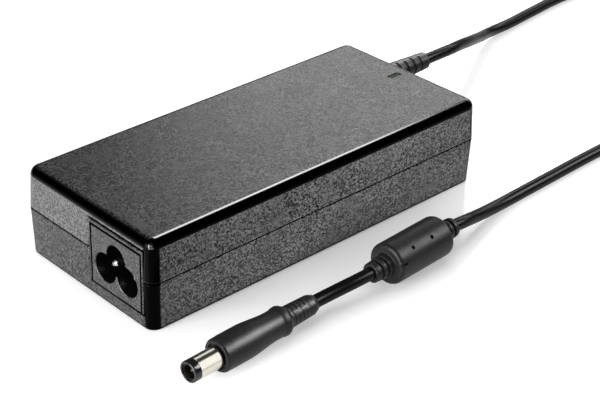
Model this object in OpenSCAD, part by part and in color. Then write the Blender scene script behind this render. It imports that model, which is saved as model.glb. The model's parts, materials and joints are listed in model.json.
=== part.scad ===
// Laptop power adapter: a two-shell brick with a three-pin mains inlet, its
// switch-mode circuit inside, and a fixed low-voltage cord that carries a
// ferrite and ends in a barrel plug. Sizes are millimetres.
// +X runs from the inlet end to the cord end, +Z is up, and the origin is the
// centre of the underside.

/* [Case] */
// Length of the case, end to end at the parting line
body_l = 135; // [132:0.5:150]
// Width of the case at the parting line
body_w = 60; // [58:0.5:70]
// Height of the case
body_h = 29.7; // [28.8:0.1:38]
// Height of the parting line between the shells
parting_z = 15.8; // [14:0.1:17.5]
// Wall thickness of both shells
wall = 2; // [1.6:0.1:2.3]
// Radius of the four upright corners
corner_r = 3.5; // [3:0.1:6]
// Radius of the rounded top edge
top_round = 2.8; // [1:0.1:2.9]
// Radius of the rounded bottom edge
bottom_round = 0.8; // [0.3:0.1:1.5]
// How far the upper shell leans in at its top
top_draft = 0.45; // [0.1:0.05:0.8]
// How far the lower shell leans in at its bottom
bottom_draft = 0.4; // [0.1:0.05:0.8]
// Shadow gap between the shells at the surface
parting_gap = 0.35; // [0.15:0.05:0.6]
// Height of the lower shell's tongue above the parting line
tongue_h = 1.6; // [0.8:0.1:2.5]
// Thickness of that tongue
tongue_t = 0.9; // [0.6:0.05:1.1]
// Clearance between moulded parts that slide together
fit_gap = 0.1; // [0.05:0.01:0.2]

/* [Mains inlet] */
// Distance of the inlet's rim from the side face
inlet_side_gap = 3.7; // [3.5:0.1:5]
// Height of the inlet's lower edge above the underside
inlet_low_gap = 5.1; // [4.6:0.1:5.5]
// Distance of the inlet's rim from the top face
inlet_top_gap = 4; // [3.8:0.1:4.5]
// Width of the inlet face
inlet_w = 22.6; // [21.5:0.1:23]
// Depth of the inlet housing behind the end face
inlet_depth = 20; // [19:0.5:21]
// Width of the rim at the sides of the face
rim_side = 0.6; // [0.4:0.1:1]
// Width of the rim above the face
rim_top = 0.8; // [0.5:0.1:1]
// Width of the groove between rim and face
rim_groove = 0.4; // [0.3:0.05:0.6]
// Depth of that groove
rim_groove_depth = 0.9; // [0.4:0.1:1.5]
// Gap between the rim and the shells
inlet_gap = 0.25; // [0.15:0.05:0.4]
// Thickness of the flange behind the wall
flange_t = 1.6; // [1.2:0.1:2.5]
// How far that flange overlaps the wall
flange_lip = 1.1; // [0.8:0.1:1.5]
// Depth of the three-lobed socket
socket_depth = 14; // [12:0.5:15]
// Radius of the live and neutral lobes
lobe_r = 4.7; // [4.4:0.05:4.8]
// Radius of the earth lobe
earth_lobe_r = 4.3; // [4:0.05:4.6]
// Radius of the softened socket mouth
mouth_round = 0.4; // [0.2:0.1:0.6]
// Distance between the live and neutral pins
pin_spacing = 10; // [9.8:0.1:10.4]
// Height of the earth pin above the other two
earth_rise = 5.1; // [4.8:0.1:5.5]
// How far the live and neutral pins lie below the centre
pin_drop = 2.5; // [2.2:0.1:2.8]
// Diameter of the pins
pin_d = 2.36; // [2.2:0.02:2.6]
// How far the pin tips lie inside the mouth
pin_recess = 3; // [2:0.5:4]
// Length of the solder tabs behind the housing
tab_l = 5; // [3:0.5:5.5]

/* [Indicator] */
// Distance of the window from the cord end
window_inset = 8; // [7:0.5:12]
// Length of the window, along the case
window_l = 4.6; // [3:0.1:6]
// Width of the window
window_w = 2; // [1.5:0.1:3]
// How far the window lies below the surface
window_recess = 0.3; // [0.1:0.05:0.6]
// Thickness of the flange under the window
window_flange_t = 0.8; // [0.5:0.1:1.2]
// Diameter of the lamp under the window
led_d = 3; // [2:0.1:3.4]

/* [Circuit board] */
// Thickness of the board
board_t = 1.6; // [1:0.1:2]
// Height of the board's underside above the case floor
board_rise = 4; // [3.2:0.1:4.2]
// Gap between the board's long edges and the walls
board_margin = 1.5; // [1:0.1:2]
// Gap between the board and the cord end wall
board_end_gap = 3.5; // [3:0.1:5]
// Gap between the solder tabs and the board
board_tab_gap = 2.5; // [0.5:0.1:3]
// Width of the ribs that carry and hold the board
rib_w = 2.5; // [1.5:0.1:3.5]
// How far those ribs reach in from the wall
rib_reach = 3; // [2.5:0.1:3.4]
// Thickness of the metal heat spreaders
spreader_t = 0.5; // [0.3:0.1:0.8]
// Thickness of the insulating films
film_t = 0.4; // [0.2:0.05:0.5]

/* [Parts on the board] */
// Gap between neighbouring parts
part_gap = 1.2; // [0.8:0.1:1.5]
// Gap between the output parts
out_gap = 1.5; // [1:0.1:2]
// Gap between most tall parts and the film above them
part_top_gap = 3.2; // [2:0.1:5]
// Diameter of the component leads
lead_d = 0.7; // [0.5:0.05:0.9]
// Height of the leads under the discs and the bridge rectifier
lead_lift = 2; // [1:0.1:3]
// Distance between the two leads of a disc
disc_pitch = 5; // [4:0.1:6]
// Radius of the common-mode core
choke_r = 8; // [6:0.1:8.2]
// Height of that core
choke_h = 9; // [6:0.5:12]
// Thickness of its wire
choke_wire = 0.9; // [0.6:0.1:1]
// Distance of its centre from the long edge of the board
choke_inset = 13; // [12:0.1:14]
// Gap between that core and the bridge rectifier
choke_gap = 3.8; // [2:0.1:4]
// Diameter of the fuse
fuse_d = 8.5; // [7:0.1:9]
// Height of the fuse
fuse_h = 7.9; // [6:0.1:10]
// Distance of the fuse's centre from the board's edges
fuse_inset = 6; // [5.5:0.1:7]
// Diameter of the surge disc
surge_d = 9; // [6:0.5:10]
// Thickness of the surge disc
surge_t = 4; // [2:0.5:5]
// Length of the X capacitor, along the case
xcap_l = 10; // [8:0.5:11]
// Width of the X capacitor
xcap_w = 17.5; // [14:0.5:18]
// Gap between the X capacitor and the film above it
xcap_top_gap = 4.2; // [3:0.1:8]
// Distance of its centre from the long edge of the board
xcap_inset = 11; // [10.5:0.1:12]
// Thickness of the bridge rectifier
bridge_t = 3.6; // [3:0.1:4]
// Width of the bridge rectifier
bridge_w = 18; // [15:0.5:20]
// Distance between its leads
bridge_pitch = 5; // [4:0.1:5.5]
// Gap between the X capacitor and the reservoir capacitor
bulk_gap = 3; // [1.5:0.1:4]
// Gap between the reservoir capacitor and the film above it
bulk_top_gap = 1.2; // [1:0.1:4]
// Gap between the reservoir capacitor and the ribs beside it
bulk_side_gap = 0.5; // [0.3:0.1:1]
// Gap between the reservoir capacitor and the Y capacitors
bulk_end_gap = 8.7; // [2:0.1:12]
// Distance between its leads
bulk_pitch = 7.5; // [5:0.5:10]
// Thickness of the heat sink plates
sink_t = 2; // [1.5:0.1:2.4]
// Gap between the heat sinks and the film above them
sink_top_gap = 2.7; // [2:0.1:4]
// Distance of the heat sinks from the long edge of the board
sink_inset = 2.5; // [2:0.1:3]
// Gap between the two heat sinks
sink_end_gap = 10.5; // [4:0.5:12]
// Width of a power transistor
package_w = 10; // [9:0.1:10.4]
// Thickness of a power transistor
package_t = 4.5; // [4:0.1:5]
// Height of its black body
package_h = 8; // [6:0.5:9]
// Height of its metal tab
tab_plate_h = 11; // [10:0.5:12]
// Distance between its leads
package_pitch = 2.54; // [2.4:0.01:2.6]
// Gap between the wound cores and the transistors
core_side_gap = 0.5; // [0.3:0.1:1]
// Gap between the wound cores and the reservoir capacitor
core_bulk_gap = 4.5; // [2:0.1:5]
// Gap between the transformer core and the film above it
core_top_gap = 1.7; // [1:0.1:4]
// Height of the transformer core above the board
core_lift = 0.5; // [0.3:0.1:1]
// How much narrower the boost choke is than the transformer, each side
boost_step = 1; // [0.5:0.1:2]
// Share of the cores' length that the boost choke takes
boost_share = 0.42; // [0.35:0.01:0.5]
// Wall thickness of the bobbin
bobbin_t = 0.7; // [0.5:0.1:0.9]
// How far the transformer's winding lies inside the bobbin's flanges
winding_recess = 0.4; // [0.2:0.1:0.8]
// Gap between the transformer and the output heat sink
trafo_gap = 4.3; // [2:0.1:5]
// Diameter of the Y capacitors
ydisc_d = 7; // [5:0.5:8]
// Thickness of the Y capacitors
ydisc_t = 3; // [2:0.5:4]
// Distance between the Y capacitors
ydisc_pitch = 9; // [8.5:0.1:10]
// Length of the optocoupler, along the case
opto_l = 4.6; // [4:0.1:5]
// Width of the optocoupler
opto_w = 6.5; // [6:0.1:7]
// Height of the optocoupler
opto_h = 3.5; // [3:0.1:4]
// Length of a control chip
chip_l = 5; // [4:0.1:6]
// Width of a control chip
chip_w = 4; // [3:0.1:5]
// Height of a control chip
chip_h = 1.6; // [1:0.1:1.8]
// Diameter of the output capacitors
ocap_d = 9; // [8:0.5:10]
// Distance between the output capacitors
ocap_pitch = 11.5; // [11:0.1:13]
// Distance of the output capacitors from the end of the board
ocap_inset = 3.5; // [2:0.1:4]
// Radius of the output choke's core
ochoke_r = 5.5; // [4:0.1:5.6]
// Height of that core
ochoke_h = 5; // [4:0.5:7]
// Thickness of its wire
ochoke_wire = 0.8; // [0.6:0.1:0.9]

/* [Strain relief] */
// Distance of the cord exit from the side face
relief_inset = 9; // [9:0.5:18]
// Length of the strain relief outside the case
relief_l = 30.5; // [26:0.5:32]
// Radius of the strain relief at the case
relief_base_r = 4.4; // [3.8:0.1:5]
// Radius of the strain relief at its tip
relief_tip_r = 3.05; // [2.7:0.05:3.4]
// Radius of its neck in the wall
neck_r = 3.8; // [3.2:0.1:4]
// Radius of its flange inside the wall
relief_flange_r = 6; // [5:0.1:6.4]
// Thickness of that flange
relief_flange_t = 2; // [1:0.1:2.5]
// Number of slots in the tapered part
relief_slots = 7; // [4:1:8]
// Distance between the slots
slot_pitch = 3.5; // [2.6:0.1:3.6]
// Width of each slot
slot_w = 1.1; // [0.6:0.1:1.5]
// Depth of each slot
slot_depth = 0.85; // [0.4:0.05:1]
// Angle that each half slot covers
slot_arc = 150; // [90:5:165]

/* [Cord] */
// Diameter of the cord
cord_d = 4; // [3.4:0.1:4]
// Clearance between the cord and what grips it
cord_gap = 0.05; // [0.02:0.01:0.2]
// Radius of the innermost turns of the coil
coil_in_r = 18.5; // [16:0.5:20]
// Radius of the outermost turns of the coil
coil_out_r = 27; // [26.5:0.5:30]
// Distance between neighbouring turns
turn_pitch = 4.1; // [4:0.05:4.4]
// Layers of turns in the coil
coil_layers = 4; // [2:2:4]
// Thickness of the strap that ties the coil
tie_t = 0.6; // [0.4:0.1:1]
// Width of that strap
tie_w = 8; // [5:0.5:12]

/* [Ferrite] */
// Length of the moulded ferrite body
ferrite_l = 24; // [22:0.5:28]
// Radius of that body
ferrite_r = 6.5; // [6:0.1:6.5]
// Rounding of its ends
ferrite_round = 2.1; // [1:0.1:2.5]
// Length of each collar
collar_l = 6.8; // [5:0.1:8]
// Radius of a collar at the body
collar_base_r = 3.7; // [3.3:0.1:4]
// Radius of a collar at its tip
collar_tip_r = 3.05; // [2.7:0.05:3.3]
// Width of the collar grooves
collar_groove_w = 0.9; // [0.5:0.1:1.2]
// Depth of the collar grooves
collar_groove_depth = 0.7; // [0.3:0.1:0.8]
// Length of the ferrite cylinder inside
core_l = 19; // [15:0.5:20]
// Radius of the ferrite cylinder inside
core_r = 5.1; // [4.5:0.1:5.2]
// Diameter of the two locating marks
mark_d = 1.2; // [0.8:0.1:1.4]
// Distance between the two locating marks
mark_spacing = 8.5; // [6:0.1:10]

/* [Plug] */
// Length of the grip with its tail
grip_l = 37.6; // [37.4:0.1:40]
// Largest radius of the grip
grip_r = 5.1; // [4.8:0.05:5.1]
// Radius of the waist
waist_r = 4.25; // [4:0.05:4.5]
// Distance of the waist from the front face
waist_at = 21; // [18:0.5:21.5]
// Radius of the ring behind the waist
bulge_r = 4.6; // [4.3:0.05:4.9]
// Length of the slotted tail behind the ring
tail_l = 11.4; // [10:0.1:11.6]
// Radius of the slotted tail
tail_r = 3.4; // [3.1:0.05:3.6]
// Distance between the slots of the tail
tail_pitch = 1.55; // [1.4:0.05:1.7]
// Width of those slots
tail_slot_w = 0.8; // [0.5:0.1:0.9]
// Depth of those slots
tail_slot_depth = 0.7; // [0.3:0.1:0.8]
// Outer diameter of the barrel
barrel_d = 6.5; // [5.5:0.05:7.4]
// Length of the barrel in front of the grip
barrel_l = 10.4; // [9:0.1:11]
// Length of the barrel inside the grip
barrel_grip_l = 5.5; // [4:0.5:7]
// How much slimmer the barrel is from its shoulder on
barrel_step = 0.2; // [0.16:0.01:0.22]
// Gap between that shoulder and the front face of the grip
shoulder_gap = 0.4; // [0.3:0.1:0.6]
// Thickness of the barrel's metal
barrel_t = 0.35; // [0.25:0.05:0.5]
// Length of the insulating ring at the tip
tip_ring_l = 2.3; // [1:0.1:2.5]
// Bore of the plug
plug_bore_d = 4.4; // [4:0.05:4.6]
// Thickness of the inner contact sleeve
contact_t = 0.25; // [0.2:0.05:0.3]
// Diameter of the centre pin
centre_pin_d = 1.4; // [0.8:0.05:1.6]
// How far the centre pin lies inside the mouth
centre_pin_recess = 1.2; // [0.5:0.1:2]

/* [Hidden] */
$fn = 48;
thin = 0.01; // a sliver, used as the flat end of a blended solid
over = 1; // how far a cut runs past the face that it opens

// Case, from the outside in
end_x = body_l / 2;
side_y = body_w / 2;
inner_l = body_l - 2 * wall;
inner_w = body_w - 2 * wall;
inner_r = corner_r - wall;
floor_z = wall;
ceiling_z = body_h - wall;
lip_in = wall - tongue_t; // from the surface to the tongue's outer face
tongue_top = parting_z + tongue_h;

// Inlet
face_x = -end_x;
inlet_low = inlet_low_gap;
inlet_high = body_h - inlet_top_gap;
inlet_top = inlet_high - rim_top - rim_groove; // upper edge of the face
inlet_half = inlet_w / 2 + rim_groove + rim_side;
inlet_y = -side_y + inlet_side_gap + inlet_half;
pin_z = (inlet_low + inlet_top) / 2 - pin_drop;
housing_back = face_x + inlet_depth;
flange_back = face_x + wall + flange_t;
tab_end = housing_back + tab_l;
housing_inset = 0.5; // the body behind the flange is this much slimmer
inlet_rib_t = 1.5;
inlet_rib_w = 3;
inlet_rib_inset = 4; // from the inlet's side to the middle of its rib
relief_y = side_y - relief_inset;

// Board and what lies over and under it
board_x0 = tab_end + board_tab_gap;
board_x1 = end_x - wall - board_end_gap;
board_y = inner_w / 2 - board_margin;
board_low = floor_z + board_rise;
board_top = board_low + board_t;
spreader_y = inner_w / 2 - rib_reach - fit_gap;
film_low = ceiling_z - spreader_t - film_t;
room_h = film_low - board_top; // for the parts on the board
window_x = end_x - window_inset;
lamp_clear = 4.5; // free length around the lamp and its window flange
first_rib = 13; // from the ends of the board to the middle of a rib
last_rib = 3.5;

// Input parts, laid out from the inlet end
edge_gap = 0.6; // between the common-mode choke and the board's end
choke_x = board_x0 + edge_gap + choke_wire + choke_r;
choke_y = -board_y + choke_inset;
fuse_x = board_x0 + fuse_inset;
fuse_y = board_y - fuse_inset;
surge_y = (fuse_y - fuse_d / 2 + choke_y + choke_r + choke_wire) / 2;
bridge_x = choke_x + choke_r + choke_wire + choke_gap + bridge_t / 2;
xcap_y = board_y - xcap_inset;
bulk_d = room_h - bulk_top_gap;
bulk_x = bridge_x + xcap_l / 2 + bulk_gap;
bulk_y = inner_w / 2 - rib_reach - bulk_side_gap - bulk_d / 2;

// Output parts, laid out from the cord end
output_wire_d = 1.5;
wire_spread = 2.2; // from the cord's axis to where each wire lands
ocap_x = board_x1 - ocap_inset - ocap_d / 2;
ochoke_out = ochoke_r + ochoke_wire;
ochoke_x = board_x1 - 2 * ochoke_r;
ochoke_y = relief_y - wire_spread - output_wire_d / 2 - out_gap / 2
    - ochoke_out;
opto_x = ochoke_x - ochoke_out - part_gap - opto_l / 2;
ydisc_x = opto_x - opto_l / 2 - part_gap - ydisc_t / 2;
bulk_l = ydisc_x - ydisc_t / 2 - bulk_end_gap - bulk_x;
sink_h = room_h - sink_top_gap;
sink_y = -board_y + sink_inset;
sink2_x = ocap_x - ocap_d / 2 - out_gap - package_t - sink_t;
sink2_l = ochoke_y - ochoke_out - out_gap - sink_y;

// Wound cores, in the room that is left between the two sides. An E core's
// outer legs, yokes and windows are a sixth of its width, its middle leg a
// third.
wound_x0 = bridge_x + bridge_t / 2 + part_gap;
core_y0 = sink_y + sink_t + package_t + core_side_gap;
trafo_w = bulk_y - bulk_d / 2 - core_bulk_gap - core_y0;
trafo_h = room_h - core_top_gap - core_lift;
boost_w = trafo_w - 2 * boost_step;
boost_h = room_h - part_top_gap;
boost_wrap = boost_w / 6 - 4 * fit_gap;
bobbin_flange = trafo_w / 6 - 2 * fit_gap;
cores_l = sink2_x - trafo_gap - wound_x0 - 2 * boost_wrap - part_gap
    - 2 * bobbin_flange;
boost_l = cores_l * boost_share;
trafo_l = cores_l - boost_l;
boost_x = wound_x0 + boost_wrap + boost_l / 2;
trafo_x = sink2_x - trafo_gap - bobbin_flange - trafo_l / 2;
power_y = core_y0 + trafo_w / 2;
sink_x0 = wound_x0 + boost_wrap;
sink_l = sink2_x - sink_end_gap - sink_x0;
package_lift = sink_h - tab_plate_h - 1.5; // free length of its leads

// Cord. Each run is a chain of points, and its first and last legs are
// straight where the cord leaves a bore or meets the coil.
coil_centre = [210, -20];
coil_h = (coil_layers - 1) * turn_pitch + cord_d;
stub_l = 16;
exit_route = [
    [61, 21, 15.8], [67, 21, 15.8], [76, 21, 15.8], [87, 21, 15.8],
    [98, 21, 15.8], [106, 21.5, 15.5], [114, 22.5, 14.8], [122, 25, 13.2],
    [130, 28, 11], [138, 31.5, 8.5], [146, 35, 6], [154, 38.5, 3.8],
    [162, 40.5, 2.5], [171, 41.5, 2], [181, 42.5, 2], [191, 43.5, 2],
    [202, 44.5, 2], [213, 44.5, 2], [225, 41.5, 2], [233.5, 33, 2],
    [237, 21, 2], [237, 12, 2.3], [237, 4, 2.6], [237, -4, 2.6]
];
plug_route = [
    [194, -47, 14.9], [186, -47, 14.9], [178, -47, 13], [170, -47, 9.8],
    [162, -47, 6.4], [154, -47, 3.8], [146, -47, 2.4], [136, -47, 2],
    [124, -47, 2], [112, -47, 2], [100, -47.2, 2], [90, -47.5, 2],
    [80, -47.8, 2], [70, -48.1, 2], [60, -48.6, 2.2], [51, -49.7, 3.2],
    [44, -50.9, 4.5], [38, -52, 5.8], [32, -52.5, 6.5], [13, -53.5, 6.5],
    [-6, -54.5, 6.5], [-12, -54.2, 6.2], [-19, -53.4, 5.5],
    [-26, -53, 5.1], [-38, -53.5, 5.1], [-50, -54, 5.1]
];
ferrite_ends = [plug_route[20], plug_route[18]];
plug_ends = [plug_route[25], plug_route[23]];
wire_d = 1.6;
tab_t = 0.8;
wire_rise = tab_t / 2 + wire_d / 2; // a wire lies on its solder tab
landing_x = board_x0 + 2;
live_route = [
    [tab_end - 4, inlet_y + pin_spacing / 2, pin_z + wire_rise],
    [tab_end - 1, inlet_y + pin_spacing / 2, pin_z + wire_rise],
    [tab_end + 1.5, inlet_y + pin_spacing / 2 + 1.2, pin_z + wire_rise - 0.6],
    [board_x0 + 0.9, inlet_y + pin_spacing / 2 + 3.6, board_top + 4],
    [landing_x, inlet_y + pin_spacing / 2 + 5.5, board_top + 2],
    [landing_x, inlet_y + pin_spacing / 2 + 5.5, board_top]
];
neutral_route = [
    [tab_end - 4, inlet_y - pin_spacing / 2, pin_z + wire_rise],
    [tab_end - 1, inlet_y - pin_spacing / 2, pin_z + wire_rise],
    [tab_end + 1.5, inlet_y - pin_spacing / 2 - 1, pin_z + wire_rise - 0.6],
    [board_x0 + 0.9, inlet_y - pin_spacing / 2 - 2.8, board_top + 4],
    [landing_x, inlet_y - pin_spacing / 2 - 4.6, board_top + 2],
    [landing_x, inlet_y - pin_spacing / 2 - 4.6, board_top]
];
earth_route = [
    [tab_end - 4, inlet_y, pin_z + earth_rise + wire_rise],
    [tab_end - 1, inlet_y + 0.6, pin_z + earth_rise + wire_rise],
    [tab_end + 1, inlet_y + 4, pin_z + earth_rise + 0.4],
    [tab_end + 1.8, inlet_y + 8, pin_z + earth_rise - 1.4],
    [board_x0 + 0.6, inlet_y + 12, board_top + 6],
    [landing_x, inlet_y + 14.2, board_top + 3],
    [landing_x, inlet_y + 14.2, board_top]
];
jacket_end = [end_x - wall - relief_flange_t - 2.5, relief_y, parting_z];

// Plug, measured from the front face of the grip
grip_front = 15; // from the cord's end to the front face
grip_nose_r = 4.6;
tail_at = grip_l - tail_l;
tail_end_r = 2.5;
tail_taper = 0.3; // how much slimmer the tail is near its end
nose_recess = 0.9; // depth of the recess around the barrel
contact_r = plug_bore_d / 2 + contact_t;
liner_r = barrel_d / 2 - barrel_t;
core_x = barrel_grip_l - 2; // front of the moulded plug core

// ---- helpers ----

// A tube's rings: level is a direction that the tube never runs along, and
// it keeps neighbouring rings from twisting against each other
function unit(v) = v / norm(v);
function tangent(p, i) =
    i == 0 ? unit(p[1] - p[0])
    : i == len(p) - 1 ? unit(p[i] - p[i - 1])
    : unit(unit(p[i + 1] - p[i]) + unit(p[i] - p[i - 1]));
function ring(p, i, r, sides, level) =
    let (t = tangent(p, i), s = unit(cross(t, level)), u = cross(s, t))
    [for (k = [0 : sides - 1])
        p[i] + r * (cos(360 * k / sides) * s + sin(360 * k / sides) * u)];

module tube(points, d, sides, level) {
    rings = len(points);
    verts = [for (i = [0 : rings - 1])
        each ring(points, i, d / 2, sides, level)];
    walls = [
        for (i = [0 : rings - 2], k = [0 : sides - 1])
            let (near = i * sides, far = near + sides, n = (k + 1) % sides)
            each [[near + k, near + n, far + n],
                  [near + k, far + n, far + k]]
    ];
    first = [for (k = [sides - 1 : -1 : 0]) k];
    last = [for (k = [0 : sides - 1]) (rings - 1) * sides + k];
    polyhedron(verts, concat([first], walls, [last]), convexity = 10);
}

// Rounded rectangle
module plate_2d(l, w, r) {
    square([l - 2 * r, w], center = true);
    square([l, w - 2 * r], center = true);
    for (x = [-1, 1], y = [-1, 1])
        translate([x * (l / 2 - r), y * (w / 2 - r)]) circle(r);
}

module slab(l, w, r, z0, z1) {
    translate([0, 0, z0]) linear_extrude(z1 - z0) plate_2d(l, w, r);
}

module box(low, high) {
    translate(low) cube(high - low);
}

// A flat shape in Y and Z, pushed along +X from x0 to x1
module push_x(x0, x1) {
    translate([x0, 0, 0]) rotate([90, 0, 90]) linear_extrude(x1 - x0)
        children();
}

// A turned shape whose axis is X
module turned() {
    rotate([0, 90, 0]) rotate_extrude() children();
}

module rod_x(x0, x1, r0, r1) {
    translate([x0, 0, 0]) rotate([0, 90, 0])
        cylinder(h = x1 - x0, r1 = r0, r2 = r1);
}

// Pin on the X axis with its front edge bevelled
module pin_x(x0, x1, r, bevel) {
    turned() polygon([[0, x0], [r - bevel, x0], [r, x0 + bevel], [r, x1],
                      [0, x1]]);
}

// Pairs of half slots across a tail on the X axis. The webs that are left
// between the halves lie at web_turn, and swing to and fro from slot to slot.
module half_slots(first_x, pitch, count, w, depth, radii, web_turn, swing) {
    for (i = [0 : count - 1], side = [0, 180])
        translate([first_x + i * pitch, 0, 0])
            rotate([web_turn + (i % 2 == 0 ? swing : -swing) + side
                    - slot_arc / 2 - 90, 0, 0])
                rotate([0, 90, 0])
                    rotate_extrude(angle = slot_arc)
                        translate([radii[i] - depth, 0])
                            square([depth + over, w]);
}

module at_corners(l, w, r) {
    for (x = [-1, 1], y = [-1, 1])
        translate([x * (l / 2 - r), y * (w / 2 - r), 0]) children();
}

// Round disc with a rounded rim, the corner of a blended block
module rimmed_disc(r, rim) {
    rotate_extrude($fn = 40)
        intersection() {
            translate([r - rim, 0]) circle(rim, $fn = 32);
            translate([0, -rim]) square([r, 2 * rim]);
        }
}

// ---- case ----

module upper_block() {
    rim = min(top_round, corner_r - 0.1);
    hull() {
        translate([0, 0, parting_z + parting_gap])
            at_corners(body_l, body_w, corner_r)
                cylinder(h = thin, r = corner_r, $fn = 40);
        translate([0, 0, body_h - rim])
            at_corners(body_l - 2 * top_draft, body_w - 2 * top_draft,
                       corner_r)
                rimmed_disc(corner_r, rim);
    }
}

module lower_block() {
    hull() {
        translate([0, 0, parting_z - thin])
            at_corners(body_l, body_w, corner_r)
                cylinder(h = thin, r = corner_r, $fn = 40);
        translate([0, 0, bottom_round])
            at_corners(body_l - 2 * bottom_draft,
                       body_w - 2 * bottom_draft, corner_r)
                rimmed_disc(corner_r, bottom_round);
    }
}

module inlet_opening() {
    box([face_x - over, inlet_y - inlet_half - inlet_gap,
         inlet_low - inlet_gap],
        [face_x + wall + over, inlet_y + inlet_half + inlet_gap,
         inlet_high + inlet_gap]);
}

module relief_opening() {
    translate([0, relief_y, parting_z])
        rod_x(end_x - wall - over, end_x + over,
              neck_r + cord_gap, neck_r + cord_gap);
}

// Upright ribs on both long walls, at the board's ends and middle
module wall_ribs(z0, z1, reach_from) {
    for (x = [board_x0 + first_rib, (board_x0 + board_x1) / 2,
              board_x1 - last_rib],
         side = [-1, 1])
        box([x - rib_w / 2,
             side > 0 ? inner_w / 2 - rib_reach : -inner_w / 2 - reach_from,
             z0],
            [x + rib_w / 2,
             side > 0 ? inner_w / 2 + reach_from : -inner_w / 2 + rib_reach,
             z1]);
}

module upper_shell() {
    color([0.16, 0.16, 0.165]) {
        difference() {
            upper_block();
            slab(inner_l, inner_w, inner_r, parting_z - over, ceiling_z);
            slab(body_l - 2 * lip_in + 2 * fit_gap,
                 body_w - 2 * lip_in + 2 * fit_gap,
                 corner_r - lip_in + fit_gap,
                 parting_z - over, tongue_top + fit_gap);
            inlet_opening();
            relief_opening();
            box([window_x - window_l / 2 - cord_gap,
                 -window_w / 2 - cord_gap, ceiling_z - over],
                [window_x + window_l / 2 + cord_gap,
                 window_w / 2 + cord_gap, body_h + over]);
        }
        // ribs that hold the board down, rooted above the tongue
        wall_ribs(tongue_top + fit_gap, ceiling_z, thin);
        wall_ribs(board_top + fit_gap, tongue_top + fit_gap + thin,
                  -fit_gap);
    }
}

module lower_shell() {
    color([0.15, 0.15, 0.155]) {
        difference() {
            union() {
                lower_block();
                slab(body_l - 2 * lip_in, body_w - 2 * lip_in,
                     corner_r - lip_in, parting_z - over, tongue_top);
            }
            slab(inner_l, inner_w, inner_r, floor_z, tongue_top + over);
            inlet_opening();
            relief_opening();
        }
        // ribs that carry the board
        wall_ribs(floor_z - thin, board_low, thin);
        // ribs that hold the inlet's flange against the end wall
        for (side = [-1, 1])
            translate([0, inlet_y + side * (inlet_half - inlet_rib_inset), 0])
                box([flange_back + fit_gap, -inlet_rib_w / 2, floor_z - thin],
                    [flange_back + fit_gap + inlet_rib_t, inlet_rib_w / 2,
                     inlet_low + housing_inset - fit_gap]);
    }
}

module indicator_window() {
    lip = 1; // reach of the flange around the pane
    color([0.15, 0.75, 0.25]) {
        box([window_x - window_l / 2, -window_w / 2,
             ceiling_z - window_flange_t],
            [window_x + window_l / 2, window_w / 2, body_h - window_recess]);
        box([window_x - window_l / 2 - lip, -window_w / 2 - lip,
             ceiling_z - window_flange_t],
            [window_x + window_l / 2 + lip, window_w / 2 + lip, ceiling_z]);
    }
}

module indicator_led() {
    top = ceiling_z - window_flange_t - 0.3;
    body_h = 3;
    rim_h = 1;
    rim = 0.3;
    lead = 0.5;
    lead_x = [window_x - lead / 2, window_x + lead / 2];
    pitch = 2.54;
    color([0.6, 0.9, 0.6]) {
        translate([window_x, 0, top - led_d / 2]) {
            sphere(d = led_d);
            translate([0, 0, -body_h]) cylinder(h = body_h, d = led_d);
            translate([0, 0, -body_h - rim_h])
                cylinder(h = rim_h, d = led_d + 2 * rim);
        }
        for (side = [-1, 1])
            box([lead_x[0], side * pitch / 2 - lead / 2, board_top],
                [lead_x[1], side * pitch / 2 + lead / 2,
                 top - led_d / 2 - body_h - rim_h / 2]);
    }
}

// ---- mains inlet ----

module clover_2d(grow) {
    fill = pin_spacing / 3; // half width of the fill between the lobes
    foot = 0.6; // how far the fill reaches below the lower lobes' centres
    for (side = [-1, 1])
        translate([side * pin_spacing / 2, 0]) circle(lobe_r + grow);
    translate([0, earth_rise]) circle(earth_lobe_r + grow);
    translate([-fill, -foot - grow]) square([2 * fill, earth_rise + foot]);
}

module ac_inlet_housing() {
    color([0.2, 0.2, 0.205])
        difference() {
            union() {
                box([face_x, inlet_y - inlet_half, inlet_low],
                    [face_x + wall + thin, inlet_y + inlet_half,
                     inlet_high]);
                box([face_x + wall,
                     inlet_y - inlet_half - flange_lip,
                     inlet_low - flange_lip],
                    [flange_back, inlet_y + inlet_half + flange_lip,
                     inlet_high + flange_lip]);
                box([flange_back - thin,
                     inlet_y - inlet_half + housing_inset,
                     inlet_low + housing_inset],
                    [housing_back, inlet_y + inlet_half - housing_inset,
                     inlet_high - housing_inset]);
            }
            // groove between the rim and the face, open at the bottom
            difference() {
                box([face_x - over, inlet_y - inlet_half + rim_side,
                     inlet_low - over],
                    [face_x + rim_groove_depth,
                     inlet_y + inlet_half - rim_side,
                     inlet_high - rim_top]);
                box([face_x - 2 * over, inlet_y - inlet_w / 2,
                     inlet_low - 2 * over],
                    [face_x + rim_groove_depth + over,
                     inlet_y + inlet_w / 2, inlet_top]);
            }
            translate([0, inlet_y, pin_z]) {
                push_x(face_x - over, face_x + socket_depth) clover_2d(0);
                push_x(face_x - over, face_x + mouth_round / 2)
                    clover_2d(mouth_round / 2);
                for (pos = [[-pin_spacing / 2, 0], [pin_spacing / 2, 0],
                            [0, earth_rise]])
                    translate([0, pos[0], pos[1]])
                        rod_x(face_x + socket_depth - over,
                              housing_back + over,
                              pin_d / 2 + cord_gap, pin_d / 2 + cord_gap);
            }
        }
}

module inlet_pin(dy, dz) {
    color([0.78, 0.78, 0.76])
        translate([0, inlet_y + dy, pin_z + dz]) {
            pin_x(face_x + pin_recess, housing_back + 1, pin_d / 2,
                  pin_d / 4);
            box([housing_back + 1 - thin, -pin_d / 2, -tab_t / 2],
                [tab_end, pin_d / 2, tab_t / 2]);
        }
}

module live_pin() inlet_pin(pin_spacing / 2, 0);
module neutral_pin() inlet_pin(-pin_spacing / 2, 0);
module earth_pin() inlet_pin(0, earth_rise);

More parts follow.
